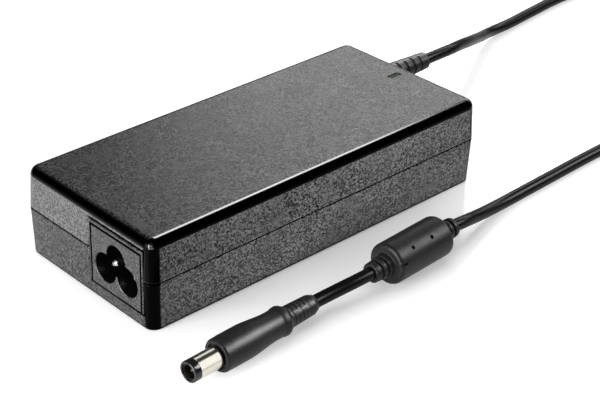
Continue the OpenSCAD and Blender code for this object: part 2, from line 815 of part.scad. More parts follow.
module inlet_wires() {
    color([0.35, 0.2, 0.12]) tube(live_route, wire_d, 8, [0, 1, 0]);
    color([0.2, 0.35, 0.65]) tube(neutral_route, wire_d, 8, [0, 1, 0]);
}

module earth_wire() {
    color([0.35, 0.6, 0.2]) tube(earth_route, wire_d, 8, [1, -1, 1]);
}

// ---- circuit ----

module circuit_board() {
    color([0.62, 0.5, 0.25])
        box([board_x0, -board_y, board_low], [board_x1, board_y, board_top]);
}

// Where the leads are soldered, as pairs along X and Y. A foot is the
// distance from a part's end to its outer leads.
foot = 2;
side_foot = 1.5;
core_leads = [[boost_x, boost_l, boost_w, [-1]],
              [trafo_x, trafo_l, trafo_w, [-1, 1]]];
ocap_y = [sink_y + 3.5, sink_y + 3.5 + ocap_pitch];
lead_spots = [
    for (s = [-1, 1]) each [
        [fuse_x + s * disc_pitch / 2, fuse_y],
        [fuse_x, surge_y + s * disc_pitch / 2],
        [bridge_x, xcap_y + s * (xcap_w / 2 - side_foot)],
        [bulk_x - lead_d, bulk_y + s * bulk_pitch / 2],
        [ochoke_x + s * (ochoke_r - side_foot), ochoke_y],
        for (t = [-1, 1])
            [choke_x + s * choke_r / 1.6, choke_y + t * choke_r / 1.6]
    ],
    for (i = [-1.5 : 1.5]) [bridge_x, choke_y + i * bridge_pitch],
    for (x = [sink_x0 + foot, sink_x0 + sink_l - foot])
        [x, sink_y + sink_t / 2],
    for (y = [sink_y + foot, sink_y + sink2_l - foot])
        [sink2_x + sink_t / 2, y],
    for (core = core_leads, s = [-1, 1], t = core[3])
        [core[0] + s * (core[1] / 2 - foot),
         power_y + t * (core[2] / 2 - side_foot)],
    for (y = ocap_y) [ocap_x, y]
];

module solder_joints() {
    joint_h = 1.2;
    joint_r = 1.1;
    color([0.75, 0.76, 0.78])
        for (spot = lead_spots)
            translate([spot[0], spot[1], board_low - joint_h])
                cylinder(h = joint_h, r1 = lead_d / 2, r2 = joint_r);
}

module fuse() {
    lid_h = 0.4;
    color([0.3, 0.16, 0.1])
        translate([fuse_x, fuse_y, board_top]) {
            cylinder(h = fuse_h - lid_h, d = fuse_d);
            translate([0, 0, fuse_h - lid_h - thin])
                cylinder(h = lid_h + thin, d = fuse_d - part_gap);
        }
}

// A disc part that stands on two leads, with its axis along X
module disc_part(x, y, d, t) {
    translate([x, y, board_top + lead_lift + d / 2])
        rod_x(-t / 2, t / 2, d / 2, d / 2);
    for (side = [-1, 1])
        translate([x, y + side * disc_pitch / 2, board_top])
            cylinder(h = lead_lift + d / 2, d = lead_d);
}

module surge_disc() {
    color([0.1, 0.25, 0.6]) disc_part(fuse_x, surge_y, surge_d, surge_t);
}

// Ring core that lies flat, and the wire wound around it
module ring_core(x, y, z, r, h) {
    translate([x, y, z])
        difference() {
            cylinder(h = h, r = r);
            translate([0, 0, -over]) cylinder(h = h + 2 * over, r = r / 2);
        }
}

module ring_winding(x, y, z, r, h, wire, turns, from, to) {
    step = (to - from) / (turns - 1);
    for (i = [0 : turns - 1])
        translate([x, y, z]) rotate(from + i * step - 3)
            rotate_extrude(angle = 6)
                difference() {
                    translate([r / 2 - wire, -wire])
                        square([r / 2 + 2 * wire, h + 2 * wire]);
                    translate([r / 2, 0]) square([r / 2, h]);
                }
}

module common_mode_core() {
    color([0.12, 0.13, 0.12])
        ring_core(choke_x, choke_y, board_top + choke_wire, choke_r, choke_h);
}

module common_mode_winding() {
    turns = 12;
    margin = 20; // free angle at each end of the two halves
    color([0.72, 0.4, 0.2])
        for (side = [0, 180])
            ring_winding(choke_x, choke_y, board_top + choke_wire, choke_r,
                         choke_h, choke_wire, turns, side + margin,
                         side + 180 - margin);
}

// A block part centred on its place, standing on the board
module block_part(x, y, size) {
    box([x - size[0] / 2, y - size[1] / 2, board_top],
        [x + size[0] / 2, y + size[1] / 2, board_top + size[2]]);
}

module x_capacitor() {
    color([0.85, 0.7, 0.15])
        block_part(bridge_x, xcap_y,
                   [xcap_l, xcap_w, room_h - xcap_top_gap]);
}

module bridge_rectifier() {
    lead = [0.7, 1.2, lead_lift + thin];
    color([0.1, 0.1, 0.1]) {
        translate([0, 0, lead_lift])
            block_part(bridge_x, choke_y,
                       [bridge_t, bridge_w,
                        room_h - part_top_gap - lead_lift]);
        for (i = [-1.5 : 1.5])
            block_part(bridge_x, choke_y + i * bridge_pitch, lead);
    }
}

// Ferrite core of two E halves, windows open along X
module e_core(x, y, z, l, w, h) {
    leg = w / 6;
    translate([x, y, z])
        difference() {
            box([-l / 2, -w / 2, 0], [l / 2, w / 2, h]);
            for (side = [-1, 1])
                translate([0, side * w / 4, 0])
                    box([-l / 2 - over, -leg / 2, leg],
                        [l / 2 + over, leg / 2, h - leg]);
        }
}

// Square coil around the middle leg of an E core
module square_coil(x, y, z0, z1, in_x, in_y, t) {
    box_in = [in_x, in_y] + [fit_gap, fit_gap];
    translate([x, y, z0]) linear_extrude(z1 - z0)
        difference() {
            square(box_in + 2 * [t, t], center = true);
            square(box_in, center = true);
        }
}

module boost_choke_core() {
    color([0.18, 0.18, 0.19])
        e_core(boost_x, power_y, board_top, boost_l, boost_w, boost_h);
}

module boost_choke_winding() {
    yoke = boost_w / 6;
    color([0.75, 0.45, 0.2])
        square_coil(boost_x, power_y, board_top + yoke + fit_gap,
                    board_top + boost_h - yoke - fit_gap,
                    boost_l, boost_w / 3, boost_wrap);
}

module bulk_capacitor() {
    crimp_at = 2.5;
    crimp_r = 1;
    color([0.12, 0.14, 0.3])
        translate([bulk_x, bulk_y, board_top + bulk_d / 2]) {
            difference() {
                rod_x(0, bulk_l, bulk_d / 2, bulk_d / 2);
                translate([crimp_at, 0, 0]) turned()
                    translate([bulk_d / 2 + crimp_r / 2, 0]) circle(crimp_r);
            }
            // leads bent down from the end face to the board
            for (side = [-1, 1])
                translate([0, side * bulk_pitch / 2, 0])
                    box([-1.5 * lead_d, -lead_d / 2, -bulk_d / 2],
                        [thin, lead_d / 2, lead_d / 2]);
        }
}

module primary_heat_sink() {
    color([0.72, 0.73, 0.75])
        box([sink_x0, sink_y, board_top],
            [sink_x0 + sink_l, sink_y + sink_t, board_top + sink_h]);
}

// Power transistor with its metal tab against a plate at y = 0
module power_package() {
    plate_t = 1.3;
    lead_w = 0.8;
    lead_t = 0.6;
    half = package_w / 2;
    color([0.75, 0.75, 0.76])
        box([-half, 0, package_lift + lead_w / 2],
            [half, plate_t, package_lift + lead_w / 2 + tab_plate_h]);
    color([0.1, 0.1, 0.1])
        box([-half, plate_t - thin, package_lift],
            [half, package_t, package_lift + package_h]);
    color([0.75, 0.75, 0.76])
        for (i = [-1 : 1])
            translate([i * package_pitch, package_t / 2, 0])
                box([-lead_w / 2, 0, 0],
                    [lead_w / 2, lead_t, package_lift + thin]);
}

module power_transistors() {
    for (x = [boost_x, trafo_x])
        translate([x, sink_y + sink_t, board_top]) power_package();
}

module transformer_core() {
    color([0.18, 0.18, 0.19])
        e_core(trafo_x, power_y, board_top + core_lift, trafo_l, trafo_w,
               trafo_h);
}

bobbin_z0 = board_top + core_lift + trafo_w / 6 + fit_gap;
bobbin_z1 = board_top + core_lift + trafo_h - trafo_w / 6 - fit_gap;

module transformer_bobbin() {
    color([0.14, 0.14, 0.15]) {
        square_coil(trafo_x, power_y, bobbin_z0, bobbin_z1, trafo_l,
                    trafo_w / 3, bobbin_t);
        for (z = [bobbin_z0, bobbin_z1 - bobbin_t])
            square_coil(trafo_x, power_y, z, z + bobbin_t, trafo_l,
                        trafo_w / 3, bobbin_flange);
        // end walls reach down past the core to the board
        for (side = [-1, 1])
            translate([trafo_x + side * (trafo_l / 2 + bobbin_flange
                                         - bobbin_t / 2), power_y, 0])
                box([-bobbin_t / 2, -trafo_w / 6, board_top],
                    [bobbin_t / 2, trafo_w / 6, bobbin_z0 + thin]);
    }
}

module transformer_winding() {
    inside = 2 * bobbin_t + fit_gap;
    color([0.85, 0.75, 0.3])
        square_coil(trafo_x, power_y, bobbin_z0 + bobbin_t + fit_gap,
                    bobbin_z1 - bobbin_t - fit_gap, trafo_l + inside,
                    trafo_w / 3 + inside,
                    bobbin_flange - bobbin_t - winding_recess);
}

module y_capacitors() {
    color([0.2, 0.4, 0.7])
        for (i = [0, 1])
            disc_part(ydisc_x, board_y - ydisc_d - out_gap - i * ydisc_pitch,
                      ydisc_d, ydisc_t);
}

module optocoupler() {
    color([0.9, 0.9, 0.88])
        block_part(opto_x, ochoke_y, [opto_l, opto_w, opto_h]);
}

module control_chips() {
    color([0.1, 0.1, 0.1])
        for (place = [[boost_x, bulk_y - bulk_pitch],
                      [trafo_x, power_y + chip_w]])
            translate([place[0], place[1], board_low - chip_h])
                box([-chip_l / 2, -chip_w / 2, 0],
                    [chip_l / 2, chip_w / 2, chip_h]);
}

module secondary_heat_sink() {
    color([0.72, 0.73, 0.75])
        box([sink2_x, sink_y, board_top],
            [sink2_x + sink_t, sink_y + sink2_l, board_top + sink_h]);
}

module output_rectifiers() {
    for (share = [1 / 4, 3 / 4])
        translate([sink2_x + sink_t, sink_y + share * sink2_l, board_top])
            rotate(-90) power_package();
}

module output_capacitors() {
    height = room_h - part_top_gap;
    crimp_at = 2;
    crimp_r = 0.8;
    vent_w = 0.3;
    color([0.1, 0.12, 0.12])
        for (y = ocap_y)
            translate([ocap_x, y, board_top])
                difference() {
                    cylinder(h = height, d = ocap_d);
                    translate([0, 0, crimp_at])
                        rotate_extrude()
                            translate([ocap_d / 2 + crimp_r / 2, 0])
                                circle(crimp_r);
                    for (turn = [0, 90])
                        rotate(turn)
                            box([-ocap_d / 3, -vent_w / 2, height - vent_w],
                                [ocap_d / 3, vent_w / 2, height + over]);
                }
}

module output_choke_core() {
    color([0.7, 0.65, 0.2])
        ring_core(ochoke_x, ochoke_y, board_top + ochoke_wire, ochoke_r,
                  ochoke_h);
}

module output_choke_winding() {
    turns = 12;
    margin = 20;
    color([0.72, 0.4, 0.2])
        ring_winding(ochoke_x, ochoke_y, board_top + ochoke_wire, ochoke_r,
                     ochoke_h, ochoke_wire, turns, margin, 360 - margin);
}

// The cord's two conductors, from its jacket down to the board
module output_wires() {
    landing = [jacket_end[0] - 5 * output_wire_d, jacket_end[1], board_top];
    for (side = [-1, 1])
        color(side > 0 ? [0.6, 0.1, 0.1] : [0.1, 0.1, 0.1])
            tube([
                jacket_end + [0, side * 0.6 * output_wire_d, 0],
                jacket_end + [-3, side * 1.3, -0.3],
                jacket_end + [-6, side * 2, -2.5],
                landing + [0, side * wire_spread, 2.5],
                landing + [0, side * wire_spread, 0]
            ], output_wire_d, 8, [0, 1, 0]);
}

module lower_heat_spreader() {
    color([0.72, 0.72, 0.74])
        box([board_x0, -spreader_y, floor_z],
            [board_x1, spreader_y, floor_z + spreader_t]);
}

module lower_insulator() {
    color([0.85, 0.85, 0.8])
        box([board_x0, -spreader_y, floor_z + spreader_t],
            [board_x1, spreader_y, floor_z + spreader_t + film_t]);
}

module upper_heat_spreader() {
    color([0.72, 0.72, 0.74])
        box([board_x0, -spreader_y, ceiling_z - spreader_t],
            [window_x - window_l / 2 - lamp_clear, spreader_y, ceiling_z]);
}

module upper_insulator() {
    color([0.85, 0.85, 0.8])
        box([board_x0, -spreader_y, film_low],
            [window_x - window_l / 2 - lamp_clear, spreader_y,
             film_low + film_t]);
}

// ---- cord ----

module dc_strain_relief() {
    bore = cord_d / 2 + cord_gap;
    inner_x = end_x - wall - relief_flange_t;
    last_slot = 4.2; // from the last slot to the tip
    bevel = 0.6;
    slot_x = [for (i = [0 : relief_slots - 1])
        relief_l - last_slot - slot_w - (relief_slots - 1 - i) * slot_pitch];
    radii = [for (x = slot_x)
        relief_base_r + (relief_tip_r - relief_base_r) * x / relief_l];
    web_turn = -6;
    web_swing = 4;
    color([0.07, 0.07, 0.07])
        translate([0, relief_y, parting_z])
            difference() {
                union() {
                    rod_x(inner_x, end_x - wall, relief_flange_r,
                          relief_flange_r);
                    rod_x(end_x - wall - thin, end_x + thin, neck_r, neck_r);
                    rod_x(end_x, end_x + relief_l - bevel, relief_base_r,
                          relief_tip_r);
                    rod_x(end_x + relief_l - bevel - thin, end_x + relief_l,
                          relief_tip_r, relief_tip_r - bevel + fit_gap);
                }
                rod_x(inner_x - over, end_x + relief_l + over, bore, bore);
                half_slots(end_x + slot_x[0], slot_pitch, relief_slots, slot_w,
                           slot_depth, radii, web_turn, web_swing);
            }
}

module cord_exit_run() {
    color([0.05, 0.05, 0.05]) tube(exit_route, cord_d, 12, [0, 0, 1]);
}

// The coil's outer shape, with the straight end where each run meets it
module cord_coil() {
    half = cord_d / 2;
    color([0.05, 0.05, 0.05]) {
        translate([coil_centre[0], coil_centre[1], tie_t])
            rotate_extrude($fn = 96)
                translate([(coil_in_r + coil_out_r) / 2, coil_h / 2])
                    plate_2d(coil_out_r - coil_in_r + cord_d, coil_h, half);
        translate([coil_centre[0] + coil_out_r, coil_centre[1] + stub_l,
                   tie_t + half])
            rotate([90, 0, 0]) cylinder(h = stub_l, r = half);
        translate([coil_centre[0], coil_centre[1] - coil_out_r,
                   tie_t + coil_h - half])
            rod_x(-stub_l, 0, half, half);
    }
}

module cord_tie() {
    coil_w = coil_out_r - coil_in_r + cord_d;
    mid_r = (coil_in_r + coil_out_r) / 2;
    arc = tie_w / mid_r * 180 / PI;
    color([0.04, 0.04, 0.04])
        translate([coil_centre[0], coil_centre[1], tie_t])
            rotate(135 - arc / 2)
                rotate_extrude(angle = arc, $fn = 96)
                    translate([mid_r, coil_h / 2])
                        difference() {
                            plate_2d(coil_w + 2 * tie_t, coil_h + 2 * tie_t,
                                     cord_d / 2 + tie_t);
                            plate_2d(coil_w, coil_h, cord_d / 2);
                        }
}

module cord_plug_run() {
    color([0.05, 0.05, 0.05]) tube(plug_route, cord_d, 12, [0, 0, 1]);
}

// ---- ferrite ----

// Puts the ferrite halfway between two points of the cord, along it
module at_ferrite() {
    run = ferrite_ends[1] - ferrite_ends[0];
    translate((ferrite_ends[0] + ferrite_ends[1]) / 2)
        rotate(atan2(run[1], run[0])) children();
}

module ferrite_core() {
    bore = cord_d / 2 + 0.3;
    color([0.22, 0.22, 0.23])
        at_ferrite()
            difference() {
                rod_x(-core_l / 2, core_l / 2, core_r, core_r);
                rod_x(-core_l / 2 - over, core_l / 2 + over, bore, bore);
            }
}

module ferrite_cover() {
    half = ferrite_l / 2;
    bore = cord_d / 2 + cord_gap;
    round_r = min(ferrite_round, ferrite_r - collar_base_r - 0.3);
    collar_bevel = 0.5;
    mark_angle = 41;
    mark_shift = -0.8;
    notch_angle = 70;
    notch_w = 0.7;
    notch_l = 2.6;
    notch_depth = 0.8;
    groove_at = [1.8, 4];
    color([0.1, 0.1, 0.1])
        at_ferrite()
            difference() {
                union() {
                    turned() intersection() {
                        translate([0, -half])
                            square([ferrite_r, ferrite_l]);
                        union() {
                            square([2 * ferrite_r, ferrite_l - 2 * round_r],
                                   center = true);
                            square([2 * (ferrite_r - round_r), ferrite_l],
                                   center = true);
                            for (end = [-1, 1])
                                translate([ferrite_r - round_r,
                                           end * (half - round_r)])
                                    circle(round_r);
                        }
                    }
                    for (turn = [0, 180]) rotate(turn) {
                        rod_x(half - thin, half + collar_l - collar_bevel,
                              collar_base_r, collar_tip_r);
                        rod_x(half + collar_l - collar_bevel - thin,
                              half + collar_l, collar_tip_r,
                              collar_tip_r - collar_bevel + fit_gap);
                    }
                }
                rod_x(-half - collar_l - over, half + collar_l + over,
                      bore, bore);
                rod_x(-core_l / 2 - cord_gap, core_l / 2 + cord_gap,
                      core_r + cord_gap, core_r + cord_gap);
                for (turn = [0, 180], x = groove_at) rotate(turn)
                    translate([half + x, 0, 0]) turned()
                        translate([collar_base_r - collar_groove_depth
                                   - (collar_base_r - collar_tip_r)
                                   * x / collar_l, 0])
                            square([over + collar_groove_depth,
                                    collar_groove_w]);
                // two locating marks on the upper front side
                for (side = [-1, 1])
                    translate([side * mark_spacing / 2 + mark_shift, 0, 0])
                        rotate([mark_angle, 0, 0])
                            translate([0, 0, core_r - over])
                                cylinder(h = ferrite_r, d = mark_d);
                // gate notch at the plug end
                rotate([notch_angle, 0, 0])
                    box([-half - over, -notch_w / 2, ferrite_r - notch_depth],
                        [-half + notch_l, notch_w / 2, ferrite_r + over]);
            }
}

// ---- plug ----

// Frame of the plug: x = 0 at the grip's front face, the tail towards +X
module at_plug() {
    run = plug_ends[1] - plug_ends[0];
    translate(plug_ends[0]) rotate(atan2(run[1], run[0]))
        translate([-grip_front, 0, 0]) children();
}

// Radius of the grip from its widest place to the waist
grip_wide_at = 9;
function grip_curve(x) =
    waist_r + (grip_r - waist_r)
    * (1 + cos(180 * (x - grip_wide_at) / (waist_at - grip_wide_at))) / 2;

module grip_outline() {
    steps = 10;
    bulge_from = waist_at + 1.5;
    polygon(concat(
        [[0, 0], [grip_nose_r, 0], [grip_r - 0.1, 0.6], [grip_r, 4]],
        [for (i = [0 : steps])
            let (x = grip_wide_at + (waist_at - grip_wide_at) * i / steps)
            [grip_curve(x), x]],
        [[waist_r, bulge_from], [bulge_r - 0.1, bulge_from + 1],
         [bulge_r, bulge_from + 2], [bulge_r - 0.2, tail_at - 1.2],
         [tail_r + 0.3, tail_at], [tail_r, tail_at + 0.2],
         [tail_r - tail_taper, grip_l - 1.6], [tail_end_r, grip_l],
         [0, grip_l]]));
}

module plug_grip() {
    bore = cord_d / 2 + cord_gap;
    socket = barrel_d / 2 - barrel_step + cord_gap;
    recess = 0.7; // width of the recess around the barrel
    count = 5;
    first_slot = 0.4;
    web_swing = -48;
    color([0.08, 0.08, 0.08])
        at_plug()
            difference() {
                turned() grip_outline();
                rod_x(-over, nose_recess, socket + recess, socket + recess);
                rod_x(-over, barrel_grip_l + cord_gap, socket, socket);
                rod_x(0, grip_front, liner_r + cord_gap,
                      liner_r + cord_gap);
                rod_x(grip_front - thin, grip_l + over, bore, bore);
                half_slots(tail_at + first_slot, tail_pitch, count,
                           tail_slot_w, tail_slot_depth,
                           [for (i = [0 : count - 1])
                               tail_r - tail_taper * i * tail_pitch / tail_l],
                           0, web_swing);
            }
}

module plug_core() {
    color([0.85, 0.85, 0.82])
        at_plug()
            difference() {
                rod_x(core_x, grip_front - 0.1, liner_r, liner_r);
                rod_x(core_x - over, core_x + 2.5,
                      centre_pin_d / 2 + cord_gap,
                      centre_pin_d / 2 + cord_gap);
            }
}

module plug_barrel() {
    color([0.85, 0.84, 0.8])
        at_plug()
            difference() {
                turned() polygon([
                    [0, -barrel_l + tip_ring_l],
                    [barrel_d / 2, -barrel_l + tip_ring_l],
                    [barrel_d / 2, -shoulder_gap],
                    [barrel_d / 2 - barrel_step, -shoulder_gap],
                    [barrel_d / 2 - barrel_step, barrel_grip_l],
                    [0, barrel_grip_l]
                ]);
                rod_x(-barrel_l, barrel_grip_l + over,
                      liner_r + cord_gap, liner_r + cord_gap);
            }
}

module plug_tip_insulator() {
    edge = 0.4;
    color([0.05, 0.05, 0.05])
        at_plug()
            difference() {
                union() {
                    rod_x(-barrel_l, -barrel_l + edge,
                          barrel_d / 2 - edge, barrel_d / 2);
                    rod_x(-barrel_l + edge, -barrel_l + tip_ring_l,
                          barrel_d / 2, barrel_d / 2);
                    rod_x(-barrel_l + edge, core_x, liner_r, liner_r);
                }
                rod_x(-barrel_l - over, core_x + over,
                      contact_r + cord_gap, contact_r + cord_gap);
            }
}

module plug_inner_contact() {
    color([0.8, 0.78, 0.7])
        at_plug()
            difference() {
                rod_x(-barrel_l + 0.6, core_x, contact_r, contact_r);
                rod_x(-barrel_l, core_x + over, plug_bore_d / 2,
                      plug_bore_d / 2);
            }
}

module plug_centre_pin() {
    color([0.8, 0.78, 0.7])
        at_plug()
            pin_x(-barrel_l + centre_pin_recess, core_x + 2.4,
                  centre_pin_d / 2, centre_pin_d / 3);
}

upper_shell();
lower_shell();
indicator_window();
indicator_led();
ac_inlet_housing();
live_pin();
neutral_pin();
earth_pin();
inlet_wires();
earth_wire();
circuit_board();
solder_joints();
fuse();
surge_disc();
common_mode_core();
common_mode_winding();
x_capacitor();
bridge_rectifier();
boost_choke_core();
boost_choke_winding();
bulk_capacitor();
primary_heat_sink();
power_transistors();
transformer_core();
transformer_bobbin();
transformer_winding();
y_capacitors();
optocoupler();
control_chips();
secondary_heat_sink();
output_rectifiers();
output_capacitors();
output_choke_core();
output_choke_winding();
output_wires();
lower_heat_spreader();
lower_insulator();
upper_heat_spreader();
upper_insulator();
dc_strain_relief();
cord_exit_run();
cord_coil();
cord_tie();
cord_plug_run();
ferrite_core();
ferrite_cover();
plug_grip();
plug_core();
plug_barrel();
plug_tip_insulator();
plug_inner_contact();
plug_centre_pin();
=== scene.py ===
import json
import math

import bmesh
import bpy
from mathutils import Matrix, Vector


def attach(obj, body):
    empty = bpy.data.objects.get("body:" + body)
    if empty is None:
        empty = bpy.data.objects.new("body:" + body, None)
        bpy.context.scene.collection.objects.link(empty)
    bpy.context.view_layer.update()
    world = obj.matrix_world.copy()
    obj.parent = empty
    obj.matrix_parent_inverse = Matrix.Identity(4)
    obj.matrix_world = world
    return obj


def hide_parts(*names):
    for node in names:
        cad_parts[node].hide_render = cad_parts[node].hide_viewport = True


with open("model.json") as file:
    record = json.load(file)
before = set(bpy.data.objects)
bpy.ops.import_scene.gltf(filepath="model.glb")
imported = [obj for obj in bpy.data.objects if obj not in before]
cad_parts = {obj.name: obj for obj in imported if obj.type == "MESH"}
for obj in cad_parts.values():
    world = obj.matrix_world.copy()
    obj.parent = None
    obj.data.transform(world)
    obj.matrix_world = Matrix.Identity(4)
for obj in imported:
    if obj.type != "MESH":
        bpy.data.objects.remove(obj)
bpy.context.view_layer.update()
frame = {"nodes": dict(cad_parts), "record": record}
scene = bpy.context.scene
nodes = frame["nodes"]
mm = 0.001  # sizes are in millimetres, but for the camera and the studio, which are in metres
past = 1  # how far a cutter reaches past the face that it cuts
tiny, slack = 0.01, 0.05  # how far a point may lie off the line that it is compared with
print("frame loaded:", len(nodes), "nodes")

cameraView = {
    "place": (-0.28763, -0.31292, 0.25352),
    "turn": (59.336, 0, -40.882),
    "lens": 93.56,
    "sensor": 36,
    "shiftX": 0.1348,
    "clip": (0.01, 30),
}


def addCamera(view):
    data = bpy.data.cameras.new("productCamera")
    data.lens = view["lens"]
    data.sensor_width = view["sensor"]
    data.shift_x = view["shiftX"]
    data.clip_start, data.clip_end = view["clip"]
    camera = bpy.data.objects.new("productCamera", data)
    camera.location = view["place"]
    camera.rotation_euler = [math.radians(angle) for angle in view["turn"]]
    scene.collection.objects.link(camera)
    scene.camera = camera


addCamera(cameraView)
print("camera placed")

cord = {
    "diameter": 4,
    "length": 1800,
    "exit": (67.5, 21, 15.8),
    "exitRun": [
        *[(x, 21, 15.8) for x in (61, 67, 76, 87, 98)],
        (106, 21.5, 15.5), (114, 22.5, 14.8), (122, 25, 13.2), (130, 28, 11),
        (138, 31.5, 8.5), (146, 35, 6), (154, 38.5, 3.8), (162, 40.5, 2.5),
        (171, 41.5, 2), (181, 42.5, 2), (191, 43.5, 2), (202, 44.5, 2), (213, 44.5, 2),
        (225, 41.5, 2), (233.5, 33, 2), (237, 21, 2), (237, 12, 2.3), (237, 4, 2.6),
        (237, -4, 2.6), (237, -12, 2.6),
    ],
    "plugRun": [
        *[(x, -47, 14.9) for x in (202, 194, 186)], (178, -47, 13),
        (170, -47, 9.8), (162, -47, 6.4), (154, -47, 3.8), (146, -47, 2.4),
        *[(x, -47, 2) for x in (136, 124, 112)], (100, -47.2, 2), (90, -47.5, 2),
        (80, -47.8, 2), (70, -48.1, 2), (60, -48.6, 2.2), (51, -49.7, 3.2),
        (44, -50.9, 4.5), (38, -52, 5.8), (32, -52.5, 6.5), (13, -53.5, 6.5),
        (-6, -54.5, 6.5), (-12, -54.2, 6.2), (-19, -53.4, 5.5), (-26, -53, 5.1),
        (-38, -53.5, 5.1), (-50, -54, 5.1),
    ],
    "coilCentre": (210, -20),
    "coilInner": 18.5,
    "coilOuter": 27,
    "coilLow": 2.6,
    "turns": 9.25,
    "turnPitch": 4.1,
    "layers": 4,
    "crossing": 0.32,  # share of a turn in which the cord climbs to the next layer
    "pointsPerTurn": 24,
    "resolution": 6,
    "bevelSteps": 10,
}


def coilPoint(turn):
    # The cord spirals in and out by turns, and climbs between the layers.
    perLayer = (cord["coilOuter"] - cord["coilInner"]) / cord["turnPitch"]
    cycle = perLayer + cord["crossing"]
    layer = min(int(turn / cycle), cord["layers"] - 1)
    along = turn - layer * cycle
    share = min(along / perLayer, 1)
    if layer % 2 == 0:
        share = 1 - share
    radius = cord["coilInner"] + (cord["coilOuter"] - cord["coilInner"]) * share
    climb = max(0, along - perLayer) / cord["crossing"]
    climb = climb * climb * (3 - 2 * climb)
    angle = -2 * math.pi * turn
    return (cord["coilCentre"][0] + radius * math.cos(angle),
            cord["coilCentre"][1] + radius * math.sin(angle),
            cord["coilLow"] + cord["turnPitch"] * (layer + climb))


def makeCord():
    count = int(cord["turns"] * cord["pointsPerTurn"])
    coil = [coilPoint(cord["turns"] * i / count) for i in range(count + 1)]
    route = cord["exitRun"] + coil + cord["plugRun"]
    curve = bpy.data.curves.new("lowVoltageCord", "CURVE")
    curve.dimensions = "3D"
    curve.bevel_depth = cord["diameter"] / 2 * mm
    curve.bevel_resolution = cord["bevelSteps"]
    curve.resolution_u = cord["resolution"]
    curve.use_fill_caps = True
    line = curve.splines.new("BEZIER")
    line.bezier_points.add(len(route) - 1)
    for knot, point in zip(line.bezier_points, route):
        knot.co = Vector(point) * mm
        knot.handle_left_type = knot.handle_right_type = "AUTO"
    obj = bpy.data.objects.new("lowVoltageCord", curve)
    scene.collection.objects.link(obj)
    return obj


cordPiece = makeCord()
print("cord laid")


def addNode(tree, kind, values=None, **options):
    # Adds a node with its options, and with values or links for its inputs, and gives its outputs.
    node = tree.nodes.new(kind)
    for key, value in options.items():
        setattr(node, key, value)
    for key, value in (values or {}).items():
        if isinstance(value, bpy.types.NodeSocket):
            tree.links.new(value, node.inputs[key])
        else:
            node.inputs[key].default_value = value
    return node.outputs


def arithmetic(tree, operation, first, second):
    return addNode(tree, "ShaderNodeMath", {0: first, 1: second}, operation=operation)[0]


def spread(tree, value, low, high, newLow, newHigh):
    return addNode(tree, "ShaderNodeMapRange", {
        "Value": value, "From Min": low, "From Max": high, "To Min": newLow, "To Max": newHigh,
    })[0]


def blend(tree, share, first, second):
    return addNode(tree, "ShaderNodeMix", {0: share, 2: first, 3: second})[0]


def blendColour(tree, share, first, second):
    return addNode(tree, "ShaderNodeMix", {0: share, 6: first, 7: second}, data_type="RGBA")[2]


def newGroup(name, inputs, outputs):
    tree = bpy.data.node_groups.new(name, "ShaderNodeTree")
    for label, value in inputs.items():
        socket = tree.interface.new_socket(label, in_out="INPUT", socket_type="NodeSocketFloat")
        socket.default_value = value
    for label, kind in outputs.items():
        tree.interface.new_socket(label, in_out="OUTPUT", socket_type=kind)
    return tree, tree.nodes.new("NodeGroupInput").outputs, tree.nodes.new("NodeGroupOutput").inputs


grainBuild = {"detail": 3, "roughness": 0.65, "pitShare": 0.28, "pitBase": 0.36, "softest": 1.05}
patchBuild = {"detail": 4, "roughness": 0.55, "low": 0.3, "high": 0.7}


def cloudNoise(tree, place, scale, build):
    return addNode(tree, "ShaderNodeTexNoise", {
        "Vector": place, "Scale": scale, "Detail": build["detail"], "Roughness": build["roughness"],
    })["Fac"]


def grainGroup():
    # Fine grain of a moulded or sintered surface: Speckle runs from 0 to 1.
    tree, given, result = newGroup(
        "mouldedGrain",
        {"Grain Size": 0.0005, "Contrast": 0.5, "Relief": 0.3, "Depth": 0.00003, "Smoothed": 0,
         "Stretch": 1},
        {"Speckle": "NodeSocketFloat", "Normal": "NodeSocketVector"})
    place = addNode(tree, "ShaderNodeTexCoord")["Object"]
    parts = addNode(tree, "ShaderNodeSeparateXYZ", {0: place})
    along = arithmetic(tree, "DIVIDE", parts[0], given["Stretch"])
    place = addNode(tree, "ShaderNodeCombineXYZ", {0: along, 1: parts[1], 2: parts[2]})[0]
    scale = arithmetic(tree, "DIVIDE", 1, given["Grain Size"])
    cloud = cloudNoise(tree, place, scale, grainBuild)
    pits = addNode(tree, "ShaderNodeTexVoronoi", {"Vector": place, "Scale": scale})["Color"]
    pits = addNode(tree, "ShaderNodeSeparateColor", {0: pits})[0]
    mixed = arithmetic(tree, "MULTIPLY_ADD", pits, grainBuild["pitShare"])
    mixed.node.inputs[2].default_value = grainBuild["pitBase"]
    mixed = arithmetic(tree, "ADD", arithmetic(tree, "SUBTRACT", mixed, 0.5), cloud)
    half = arithmetic(tree, "SUBTRACT", grainBuild["softest"], given["Contrast"])
    half = arithmetic(tree, "MULTIPLY", half, 0.5)
    low = arithmetic(tree, "SUBTRACT", 0.5, half)
    high = arithmetic(tree, "ADD", 0.5, half)
    speckle = spread(tree, mixed, low, high, 0, 1)
    kept = arithmetic(tree, "SUBTRACT", 1, given["Smoothed"])
    bump = addNode(tree, "ShaderNodeBump", {
        "Strength": given["Relief"], "Distance": given["Depth"],
        "Height": arithmetic(tree, "MULTIPLY", mixed, kept)})
    tree.links.new(speckle, result["Speckle"])
    tree.links.new(bump[0], result["Normal"])
    return tree


